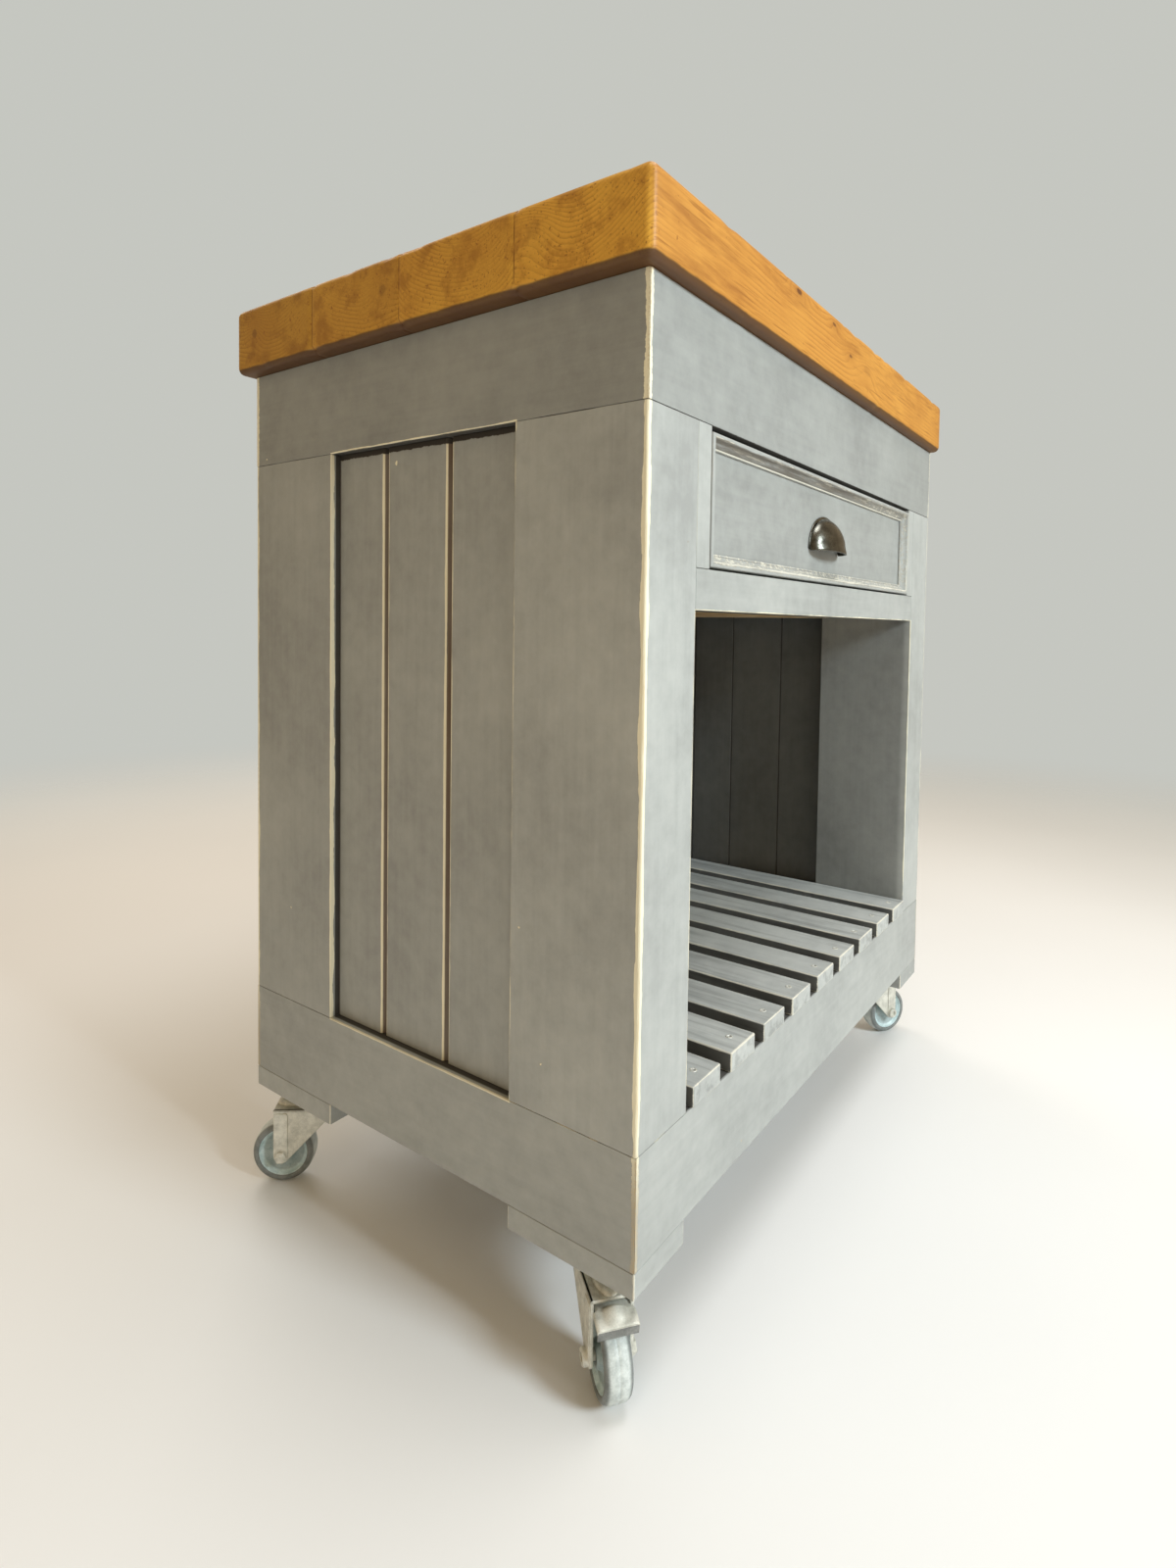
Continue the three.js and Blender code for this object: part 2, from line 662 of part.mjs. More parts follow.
// A pressed plate with a turned-down lip, a brake shoe under it and its own hinge barrel.
function makePedal(name) {
  const top = -PEDAL_TOP_DROP;
  const under = top - PEDAL_METAL;
  const innerHalf = PEDAL_INNER_WIDTH / 2;
  const outerHalf = PEDAL_OUTER_WIDTH / 2;
  const shoeHalf = BRAKE_SHOE.width / 2;
  const overlap = PEDAL_METAL / 2;
  const arm = block(
    [PEDAL_PIVOT.trail - PEDAL_PIVOT_RADIUS, PEDAL_SHOULDER_TRAIL + overlap],
    [-innerHalf, innerHalf],
    [under, top],
  );
  const toe = block([PEDAL_SHOULDER_TRAIL, PEDAL_END_TRAIL], [-outerHalf, outerHalf], [under, top]);
  const lip = block(
    [PEDAL_END_TRAIL - PEDAL_METAL, PEDAL_END_TRAIL],
    [-outerHalf, outerHalf],
    [under - PEDAL_LIP_DROP, top - overlap],
  );
  const shoe = block(
    [BRAKE_SHOE.from, BRAKE_SHOE.to],
    [-shoeHalf, shoeHalf],
    [under - BRAKE_SHOE.depth, under + overlap],
  );
  const barrel = cylinderY(
    PEDAL_PIVOT_RADIUS,
    FORK_INNER_HALF_WIDTH - 2 * FIT,
    PEDAL_PIVOT.trail,
    -PEDAL_PIVOT.drop,
    HOLE_SEGMENTS,
  );
  return named(`brake_pedal_${name}`, fromSolid(joined([arm, toe, lip, shoe, barrel])), "zinc");
}

function makeCastor(corner) {
  const castor = new THREE.Group();
  castor.position.set(
    corner.x * (BODY_WIDTH / 2 - CASTOR_INSET_X),
    corner.y * (BODY_DEPTH / 2 - CASTOR_INSET_Y),
    FOOT_BOTTOM,
  );
  const swivel = new THREE.Group();
  swivel.rotation.z = THREE.MathUtils.degToRad(corner.trail);
  swivel.add(makeFork(corner.name), makeWheel(corner.name), makeAxle(corner.name));
  if (corner.braked) {
    swivel.add(makePedal(corner.name));
  }
  castor.add(makePlate(corner.name), swivel);
  return castor;
}

// ---------------------------------------------------------------- the cart

const cart = new THREE.Group();
cart.add(makeWorktop());
cart.add(...makeRails(), ...makeCorners(), ...makePanels());
cart.add(...makeSlats(), ...makeFaceFrame(), ...makeDrawer());
cart.add(...CORNERS.map(makeCastor));

export default cart;
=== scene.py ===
"""Kitchen island cart: waxed pine worktop on a distressed grey painted body, on four castors.

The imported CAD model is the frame. Painted boards are its own nodes with eased edges, and the
worktop, drawer moulding, cup pull and castors are finer pieces that stand for their nodes.
Positions and sizes are in metres, in the CAD frame: +X right, -Y front, +Z up.
"""

import json
import math
import random

import bmesh
import bpy
from mathutils import Matrix, Vector


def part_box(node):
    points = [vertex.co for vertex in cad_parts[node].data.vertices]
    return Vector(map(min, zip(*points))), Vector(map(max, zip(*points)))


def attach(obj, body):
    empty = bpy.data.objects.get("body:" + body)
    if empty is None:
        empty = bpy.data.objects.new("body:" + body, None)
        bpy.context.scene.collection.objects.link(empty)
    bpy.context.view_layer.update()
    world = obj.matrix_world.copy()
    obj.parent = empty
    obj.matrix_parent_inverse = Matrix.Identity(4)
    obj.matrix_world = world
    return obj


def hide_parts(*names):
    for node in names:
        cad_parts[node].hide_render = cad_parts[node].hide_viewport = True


MM = 0.001
CORNERS = ("front_left", "front_right", "rear_left", "rear_right")
BRAKED = ("front_left", "rear_right")

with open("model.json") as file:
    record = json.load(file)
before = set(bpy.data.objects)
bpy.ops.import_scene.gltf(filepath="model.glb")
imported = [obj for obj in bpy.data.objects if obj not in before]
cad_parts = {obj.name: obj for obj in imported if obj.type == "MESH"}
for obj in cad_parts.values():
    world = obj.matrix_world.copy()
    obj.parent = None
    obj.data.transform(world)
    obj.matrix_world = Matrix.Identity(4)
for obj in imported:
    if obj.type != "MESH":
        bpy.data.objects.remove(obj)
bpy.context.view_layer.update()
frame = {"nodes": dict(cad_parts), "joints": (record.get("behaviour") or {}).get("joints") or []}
NODES = frame["nodes"]
JOINTS = {joint["name"]: joint for joint in frame["joints"]}
scene = bpy.context.scene
scene.view_settings.view_transform = "Standard"


def node_span(node):
    """Each axis's (low, high) of a CAD node."""
    low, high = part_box(node)
    return [(low[i], high[i]) for i in range(3)]


# ------------------------------------------------------------------ camera

CAMERA_PLACE = Vector((-0.8593, -0.5576, 0.5855))
CAMERA_AZIMUTH = math.radians(54.21)
CAMERA_PITCH = math.radians(2.265)
CAMERA_ROLL = math.radians(0.835)
CAMERA_LENS = 19.09
CAMERA_SHIFT = (-0.0081, -0.0795)


def make_camera():
    """Looks along the azimuth (from +Y towards +X), tipped down by the pitch, then rolled."""
    sin_a, cos_a = math.sin(CAMERA_AZIMUTH), math.cos(CAMERA_AZIMUTH)
    flat = math.cos(CAMERA_PITCH)
    ahead = Vector((sin_a * flat, cos_a * flat, -math.sin(CAMERA_PITCH)))
    right = Vector((cos_a, -sin_a, 0.0))
    up = right.cross(ahead)
    turned_right = right * math.cos(CAMERA_ROLL) + up * math.sin(CAMERA_ROLL)
    turned_up = up * math.cos(CAMERA_ROLL) - right * math.sin(CAMERA_ROLL)
    data = bpy.data.cameras.new("camera")
    data.lens = CAMERA_LENS
    data.sensor_width = 36.0
    data.shift_x, data.shift_y = CAMERA_SHIFT
    data.clip_start = 0.01
    camera = bpy.data.objects.new("camera", data)
    rotation = Matrix((turned_right, turned_up, -ahead)).transposed()
    camera.matrix_world = Matrix.Translation(CAMERA_PLACE) @ rotation.to_4x4()
    scene.collection.objects.link(camera)
    scene.camera = camera


make_camera()


# ------------------------------------------------------------------ shader building


class Value:
    """A shader socket that adds, subtracts, multiplies and divides as a number does."""

    def __init__(self, shader, socket):
        self.shader, self.socket = shader, socket

    def __add__(self, other):
        return self.shader.math("ADD", self, other)

    def __sub__(self, other):
        return self.shader.math("SUBTRACT", self, other)

    def __rsub__(self, other):
        return self.shader.math("SUBTRACT", other, self)

    def __mul__(self, other):
        return self.shader.math("MULTIPLY", self, other)

    def __truediv__(self, other):
        return self.shader.math("DIVIDE", self, other)

    def __neg__(self):
        return self * -1.0

    def __abs__(self):
        return self.shader.math("ABSOLUTE", self)

    __radd__, __rmul__ = __add__, __mul__


class Shader:
    """Builds one node material. Most methods add a node and give back its output as a Value."""

    def __init__(self, name):
        self.material = bpy.data.materials.new(name)
        self.material.use_nodes = True
        self.tree = self.material.node_tree
        self.tree.nodes.clear()
        self.place = self.value("TexCoord", {}, "Object")

    def node(self, kind, inputs=None, **settings):
        made = self.tree.nodes.new("ShaderNode" + kind)
        for key, value in settings.items():
            setattr(made, key, value)
        for key, value in (inputs or {}).items():
            self.feed(made.inputs[key], value)
        return made

    def feed(self, socket, value):
        if isinstance(value, Value):
            self.tree.links.new(value.socket, socket)
        else:
            socket.default_value = value

    def value(self, kind, inputs, output=0, **settings):
        """One output of a new node."""
        return Value(self, self.node(kind, inputs, **settings).outputs[output])

    def math(self, operation, a, b=0.0, c=0.0):
        return self.value("Math", {0: a, 1: b, 2: c}, operation=operation)

    def low(self, *values):
        return self._fold("MINIMUM", values)

    def high(self, *values):
        return self._fold("MAXIMUM", values)

    def _fold(self, operation, values):
        result = values[0]
        for value in values[1:]:
            result = self.math(operation, result, value)
        return result

    def vector(self, operation, a, b=(0.0, 0.0, 0.0)):
        return self.value("VectorMath", {0: a, 1: b}, operation=operation)

    def stretch(self, vector, axis, scale):
        return self.vector("MULTIPLY", vector, one_axis(axis, scale))

    def length(self, vector):
        return self.value("VectorMath", {0: vector}, 1, operation="LENGTH")

    def dot(self, a, b):
        return self.value("VectorMath", {0: a, 1: b}, 1, operation="DOT_PRODUCT")

    def split(self, vector):
        return [Value(self, output) for output in self.node("SeparateXYZ", {0: vector}).outputs]

    def join(self, x, y, z):
        return self.value("CombineXYZ", {0: x, 1: y, 2: z})

    def prop(self, name, output=1):
        """The object's own vector property of this name."""
        return self.value("Attribute", {}, output, attribute_type="OBJECT", attribute_name=name)

    def number(self, name):
        """The object's own number property of this name."""
        return self.prop(name, 2)

    def noise(self, vector, scale, detail=2.0, roughness=0.5):
        inputs = {"Vector": vector, "Scale": scale, "Detail": detail, "Roughness": roughness}
        return self.value("TexNoise", inputs)

    def jitter(self, amount, *noise):
        """Noise centred on 0, that reaches about half the amount each way."""
        return (self.noise(*noise) - 0.5) * amount

    def step(self, value, start, end):
        """A smooth step from 0 at start to 1 at end, whichever way round they are."""
        inputs = {0: value, 1: start, 2: end, 3: 0.0, 4: 1.0}
        return self.value("MapRange", inputs, interpolation_type="SMOOTHSTEP", clamp=True)

    def spread(self, value, low, high):
        """A 0 to 1 value carried to low to high."""
        return self.math("MULTIPLY_ADD", value, high - low, low)

    def mix(self, factor, a, b, blend="MIX"):
        return self.value("Mix", {0: factor, 6: a, 7: b}, 2, data_type="RGBA", blend_type=blend)

    def shade(self, colour, *gains):
        """The colour times one gain, or times a gain for each channel."""
        channels = gains * 3 if len(gains) == 1 else gains
        return self.mix(1.0, colour, self.join(*channels), "MULTIPLY")

    def ramp(self, value, stops):
        made = self.node("ValToRGB", {0: value})
        elements = made.color_ramp.elements
        while len(elements) < len(stops):
            elements.new(0.5)
        for element, (position, colour) in zip(elements, stops):
            element.position = position
            element.color = colour
        return Value(self, made.outputs[0])

    def bump(self, height, distance, strength=1.0):
        inputs = {"Height": height, "Distance": distance, "Strength": strength}
        return self.value("Bump", inputs)

    def finish(self, colour, roughness, normal=None, **fixed):
        shader = self.node("BsdfPrincipled", {"Base Color": colour, "Roughness": roughness})
        if normal is not None:
            self.feed(shader.inputs["Normal"], normal)
        for key, value in fixed.items():
            shader.inputs[key.replace("_", " ")].default_value = value
        output = self.node("OutputMaterial")
        self.tree.links.new(shader.outputs[0], output.inputs[0])
        return self.material


def rgb(r, g, b):
    return (r, g, b, 1.0)


def one_axis(axis, scale):
    """A scale for one axis, and 1 for the other two."""
    return [scale if i == axis else 1.0 for i in range(3)]


# ------------------------------------------------------------------ painted timber

BODY_X, BODY_Y, BODY_TOP = (span[1] for span in node_span("top_rail_front"))
BODY_Y = -node_span("top_rail_front")[1][0]
BODY_BOTTOM = node_span("base_rail_front")[2][0]
BASE_TOP = node_span("base_rail_front")[2][1]
POST_TOP = node_span("post_front_left")[2][1]
OPENING_X = -node_span("post_front_left")[0][1]
OPENING_TOP = node_span("mid_rail")[2][0]
RECESS_Y = -node_span("post_front_left")[1][1]
PANEL_MIDDLE = (BASE_TOP + POST_TOP) / 2
PANEL_HALF = (POST_TOP - BASE_TOP) / 2

SIDE_JOINT, SIDE_PITCH = -0.033, 0.082
BACK_JOINT, BACK_PITCH = 0.042, 0.084
GROOVE_HALF = 0.004

PAINT = rgb(0.405, 0.420, 0.405)
PAINT_DARK = rgb(0.330, 0.340, 0.330)
PAINT_PALE = rgb(0.470, 0.485, 0.465)
PRIMER = rgb(0.90, 0.855, 0.66)
BARE_WOOD = rgb(0.60, 0.44, 0.24)
FRINGE = rgb(0.30, 0.25, 0.17)
WORN_GREY = rgb(0.68, 0.66, 0.57)
WORN_BEIGE = rgb(0.46, 0.43, 0.35)
# Near black: dirt in the joints, and painted shade under the ledges, in the recesses and in the gaps.
GRIME_AND_SHADE = rgb(0.028, 0.022, 0.017)
GROOVE_WAX = rgb(0.150, 0.100, 0.065)
# Dark brown for the moulding: the darkened top slope, painted shade in the quirk and a painted shadow below
# the drawer gap.
MOULDING_DARK_AND_SHADE = rgb(0.120, 0.105, 0.085)
PAINT_ROUGHNESS = (0.46, 0.70)
# How far wear usually reaches in from each kind of edge.
CORNER_WEAR, RECESS_WEAR, BACK_WEAR = 3.8 * MM, 1.3 * MM, 1.4 * MM
OPENING_WEAR, JOINT_WEAR = 1.0 * MM, 0.9 * MM
GROOVE_WEAR = 1.15 * MM
# Added to a distance in wear widths, this keeps wear off altogether.
NO_WEAR = 9.0


def rim(s, face, across, up):
    """Distance to a rectangle's rim, drawn on one face: each value is 0 on its own plane."""
    near = abs(face)
    side = s.high(abs(across), near, up)
    end = s.high(abs(up), near, across)
    return s.low(side, end)


def box_edges(s):
    """Distance to the nearest edge of the box that the object carries as its properties."""
    middle, half = s.prop("wear_middle"), s.prop("wear_half")
    away = s.vector("SUBTRACT", s.vector("ABSOLUTE", s.vector("SUBTRACT", s.place, middle)), half)
    q = s.split(away)
    flat = [abs(value) for value in q]
    pairs = [s.high(flat[i], flat[j], q[k]) for i, j, k in ((0, 1, 2), (0, 2, 1), (1, 2, 0))]
    return s.low(*pairs)


def paint_brushing(s):
    """Coordinates that shift from board to board, and the same drawn out along the grain."""
    moved = s.vector("ADD", s.place, s.prop("seed"))
    return moved, s.vector("MULTIPLY", moved, s.prop("grain"))


def paint_finish(s, worn, core, grime_and_shade, tone, moved, drawn, primer=PRIMER, wax_and_shade=GRIME_AND_SHADE):
    """Brushed matt paint. Where worn is 1 it is rubbed to cream primer, where core is 1 too it is rubbed to
    the wood, and where grime_and_shade is 1 it takes the wax_and_shade colour: dark wax and dirt in joints
    and grooves, and painted shade in recesses, under ledges and in gaps."""
    streak = s.noise(drawn, 150.0, 4.0, 0.62)
    fine = s.noise(drawn, 900.0, 2.0, 0.6)
    cloud = s.noise(moved, 6.0, 4.0, 0.55)
    blotch = s.noise(moved, 60.0, 4.0, 0.65)
    tint = streak * 0.18 + cloud * 0.5 + blotch * 0.32
    paint = s.shade(s.ramp(tint, [(0.36, PAINT_DARK), (0.50, PAINT), (0.64, PAINT_PALE)]), tone)
    grain = s.step(s.noise(drawn, 420.0, 3.0, 0.7), 0.40, 0.62)
    bare = s.mix(core * s.spread(grain, 0.2, 0.7), primer, BARE_WOOD)
    fringe = s.step(worn, 0.05, 0.4) - s.step(worn, 0.4, 0.7)
    colour = s.mix(fringe * 0.55, paint, FRINGE)
    colour = s.mix(s.step(worn, 0.40, 0.70), colour, bare)
    colour = s.mix(grime_and_shade, colour, wax_and_shade)
    rough = s.spread(blotch, *PAINT_ROUGHNESS)
    height = streak * 0.35 + fine * 0.15 + blotch * 0.5 - worn * 0.8
    normal = s.bump(height, 0.0003, 0.45)
    return s.finish(colour, rough, normal, Specular_IOR_Level=0.3)


def worn_mask(s, nearness, moved, drawn, patchy=2.0, ragged=1.2):
    """Ragged wear: nearness is the distance to an edge over the width usually worn there."""
    patch = s.noise(moved, 24.0, 3.0, 0.6)
    rag = s.noise(drawn, 300.0, 4.0, 0.7)
    shifted = nearness + (0.5 - patch) * patchy + (0.5 - rag) * ragged
    return s.step(shifted, 1.12, 0.88)


def specks(s, moved):
    """A few small knocks through the paint, away from any edge."""
    dots = s.noise(moved, 95.0, 2.0, 0.5)
    thin = s.noise(moved, 11.0, 2.0, 0.5)
    return s.step(dots, 0.755, 0.79) * s.step(thin, 0.55, 0.62)


def on_plane(s, distance, thick=0.7 * MM):
    """1 on a plane and 0 off it."""
    return s.step(abs(distance), thick, thick - 0.4 * MM)


def frame_paint():
    """Paint for the posts and rails, whose wear follows the body's edges and not each board's."""
    s = Shader("frame_paint")
    moved, drawn = paint_brushing(s)
    x, y, z = s.split(s.place)
    # How far out each place is from the body's faces, the side recesses and the openings.
    out_x, out_y = abs(x) - BODY_X, abs(y) - BODY_Y
    up = abs(z - PANEL_MIDDLE) - PANEL_HALF
    in_side, in_x = abs(y) - RECESS_Y, abs(x) - OPENING_X
    opening_up = s.high(BASE_TOP - z, z - OPENING_TOP)
    # The distance to each kind of edge.
    corner = s.high(-out_x, -out_y)
    side = s.low(rim(s, out_x, in_side, up), s.high(abs(in_side), out_x * -0.35, up))
    back = rim(s, y - BODY_Y, in_x, up)
    front = rim(s, y + BODY_Y, in_x, opening_up)
    level = s.low(abs(z - BASE_TOP), abs(z - POST_TOP))
    # The same in wear widths, with more wear at the left and low down than elsewhere.
    between = s.step(in_x, 2 * MM, -2 * MM)
    low_level = s.step(z, PANEL_MIDDLE + 0.1, PANEL_MIDDLE - 0.1)
    arris = corner / CORNER_WEAR + s.step(x, -0.1, 0.1) * 0.55
    upright = s.step(up, -4 * MM, -9 * MM) * s.step(y, 0.05, -0.05)
    recess = side / RECESS_WEAR + upright * 0.7
    shelf = between * s.step(z, BASE_TOP + 25 * MM, BASE_TOP + 15 * MM)
    opening = front / OPENING_WEAR + shelf * NO_WEAR + 0.25
    hidden = s.high(between, s.step(in_side, 1 * MM, -1 * MM))
    joint_wear = level / JOINT_WEAR + s.spread(low_level, 3.0, 1.1) + hidden * NO_WEAR
    worn = s.high(
        worn_mask(s, arris, moved, drawn, 1.4, 0.9),
        worn_mask(s, recess, moved, drawn, 1.8, 1.4),
        worn_mask(s, back / BACK_WEAR, moved, drawn, 2.6, 1.6),
        worn_mask(s, opening, moved, drawn, 3.0, 1.6),
        worn_mask(s, joint_wear, moved, drawn, 2.4, 2.0),
        specks(s, moved),
    )
    low_down = s.step(z, BASE_TOP + 0.02, BASE_TOP - 0.05)
    core = s.high(s.step(arris + s.noise(drawn, 200.0) * 0.5, 0.75, 0.35), low_down * 0.3)
    # Dark dirt in the joints, and painted shade under the ledges, under the rails, on the shelf rail
    # between the slats and deep in the recesses.
    behind = s.step(y, 0.8 * MM - BODY_Y, 1.8 * MM - BODY_Y)
    patch = s.step(s.noise(moved, 17.0, 2.0), 0.44, 0.60)
    patch = s.high(patch, s.step(y, 14 * MM - BODY_Y, 2 * MM - BODY_Y))
    crack = s.step(level + s.noise(moved, 260.0) * (0.5 * MM), 0.9 * MM, 0.4 * MM) * patch
    crack = crack * s.spread(low_level, 0.85, 0.2)
    ledge = s.step(out_x, -0.4 * MM, -1.4 * MM) * s.step(in_side, 1.0 * MM, 0.0)
    soffit = s.high(ledge, between * behind) * on_plane(s, z - POST_TOP, 0.6 * MM)
    under_rail = on_plane(s, z - OPENING_TOP, 0.6 * MM) * behind * s.step(in_x, -0.1 * MM, -0.8 * MM)
    shelf_top = on_plane(s, z - BASE_TOP) * behind * between
    sill = on_plane(s, z - BASE_TOP) * s.step(in_side, 1 * MM, 0.0) * s.step(out_x, -3.4 * MM, -5.4 * MM)
    depths = on_plane(s, in_side) * s.step(out_x, -4.2 * MM, -5.6 * MM)
    grime_and_shade = s.high(crack, soffit * 0.93, under_rail * 0.8, shelf_top * 0.85, s.high(depths, sill) * 0.9)
    # Painted shade: the paint inside the body is drawn darker.
    inside = s.step(in_x, 0.4 * MM, -0.1 * MM) * s.step(y, 4 * MM - BODY_Y, 12 * MM - BODY_Y)
    inside = inside * s.step(y, BODY_Y - 2 * MM, BODY_Y - 6 * MM)
    tone = s.number("tone") * (1.0 - inside * 0.38)
    primer = s.mix(low_down, PRIMER, WORN_BEIGE)
    return paint_finish(s, worn, core, grime_and_shade, tone, moved, drawn, primer=primer)


def panel_paint(name, axis, joint, pitch, limit, depth):
    """Paint for boarded panels: rubbed along each groove's lips, brown down in the V, with a painted shadow
    along the top under the rail and painted shade where the panel meets its frame at limit. The inside is
    drawn darker, painted shade, and not rubbed. depth gives the axis and the middle of the panel's
    thickness."""
    s = Shader(name)
    moved, drawn = paint_brushing(s)
    place = s.split(s.place)
    to_joint = s.math("PINGPONG", place[axis] - joint, pitch / 2)
    through = abs(place[depth[0]])
    inside = s.step(through, depth[1] + 1.5 * MM, depth[1] - 1.5 * MM)
    outside = 1.0 - inside
    lip = abs(to_joint - (GROOVE_HALF - 0.4 * MM))
    worn = worn_mask(s, lip / GROOVE_WEAR, moved, drawn, 2.0, 1.2)
    worn = s.high(worn, specks(s, moved)) * outside
    hollow = s.step(to_joint, GROOVE_HALF - 0.9 * MM, GROOVE_HALF - 1.4 * MM)
    stain = hollow * s.spread(s.step(s.noise(drawn, 60.0), 0.35, 0.6), 0.72, 0.97) * outside
    # Painted shadow: a ragged dark band along the panel's top under the top rail, and painted shade on a
    # line where the panel meets the posts.
    ragged = s.jitter(4 * MM, moved, 110.0, 4.0, 0.7)
    gap = s.step(place[2] + ragged, POST_TOP - 5.5 * MM, POST_TOP - 4.5 * MM)
    rim_line = s.step(abs(place[axis]) + ragged * 0.15, limit - 2.6 * MM, limit - 1.4 * MM)
    gap = s.high(gap, rim_line * 0.75) * outside
    # Painted shade: the inside face is drawn darker.
    tone = s.number("tone") * (1.0 - inside * 0.55)
    hairline = s.step(to_joint, 1.2 * MM, 0.5 * MM) * inside
    wax_and_shade = s.mix(s.high(gap, inside), GROOVE_WAX, GRIME_AND_SHADE)
    grime_and_shade = s.high(stain, gap * 0.97, hairline * 0.8)
    return paint_finish(s, worn, stain * 0.6, grime_and_shade, tone, moved, drawn, wax_and_shade=wax_and_shade)


def board_paint(name, shaded_sides=False):
    """Paint for single boards, worn along the edges of the object's own box. Slats have their sides drawn
    dark below the top edge, painted shade in the gaps between them."""
    s = Shader(name)
    moved, drawn = paint_brushing(s)
    nearness = box_edges(s) / s.number("wear_width")
    worn = s.high(worn_mask(s, nearness, moved, drawn, 2.4, 1.5), specks(s, moved))
    tone = s.number("tone")
    if shaded_sides:
        # Painted shade on the slat's sides below their top edge, and a scuffed tone along them.
        x, _, z = s.split(s.vector("SUBTRACT", s.place, s.prop("wear_middle")))
        half = s.split(s.prop("wear_half"))
        flank = s.step(abs(x) - half[0], -1.3 * MM, -0.5 * MM)
        below = s.step(half[2] - z, 0.9 * MM, 1.7 * MM)
        scuffs = s.step(s.noise(drawn, 90.0, 4.0, 0.65), 0.48, 0.64)
        tone = tone * (1.0 - flank * below * 0.7) * s.spread(scuffs, 1.14, 0.86)
    core = s.step(nearness, 0.7, 0.2) * 0.4
    return paint_finish(s, worn, core, 0.0, tone, moved, drawn, primer=WORN_GREY)


# ------------------------------------------------------------------ pine

PINE_WAXED = (
    (0.00, rgb(0.60, 0.288, 0.052)),
    (0.45, rgb(0.56, 0.254, 0.044)),
    (0.80, rgb(0.43, 0.172, 0.026)),
    (0.93, rgb(0.31, 0.113, 0.016)),
    (1.00, rgb(0.59, 0.278, 0.050)),
)
PINE_RAW = (
    (0.00, rgb(0.74, 0.58, 0.36)),
    (0.45, rgb(0.70, 0.53, 0.31)),
    (0.80, rgb(0.60, 0.43, 0.24)),
    (0.93, rgb(0.50, 0.33, 0.17)),
    (1.00, rgb(0.72, 0.56, 0.34)),
)
RING_PITCH = 0.0034
SMUDGE_STRETCH = 0.16
ENDS = node_span("worktop")[0]
# Painted light: gains that draw the worktop's end faces lighter.
END_FACE_LIGHT = (1.32, 1.50, 1.08)
KNOT_COLOUR = rgb(0.11, 0.035, 0.010)
# Painted shade: dark brown for the worktop's underside.
UNDERSIDE_SHADE = rgb(0.070, 0.032, 0.014)
BOARD_PITCH, FIRST_HEART = 0.1255, -0.189
BOARD_LUCK = 4.37
FIBRE_DRAW = 0.030
# Knots run along the grain, so they are this much narrower there.
KNOT_SHRINK = 0.42


def pine_knots(s, knots, moved, grain):
    """How far the knots bend the rings round them, and masks of their cores and halos."""
    bend, core, ring = 0.0, 0.0, 0.0
    for place, radius, darkness in knots:
        span = s.length(s.stretch(s.vector("SUBTRACT", s.place, place), grain, KNOT_SHRINK))
        wobble = span + s.jitter(radius * 0.9, moved, 170.0)
        core = s.high(core, s.step(wobble, radius * 1.1, radius * 0.5) * darkness)
        halo = s.math("POWER", 0.5, s.math("POWER", span / (radius * 2.6), 2.0))
        bend = bend + halo * (radius * 2.2)
        ring = s.high(ring, halo * (0.5 * darkness))
    return bend, core, ring


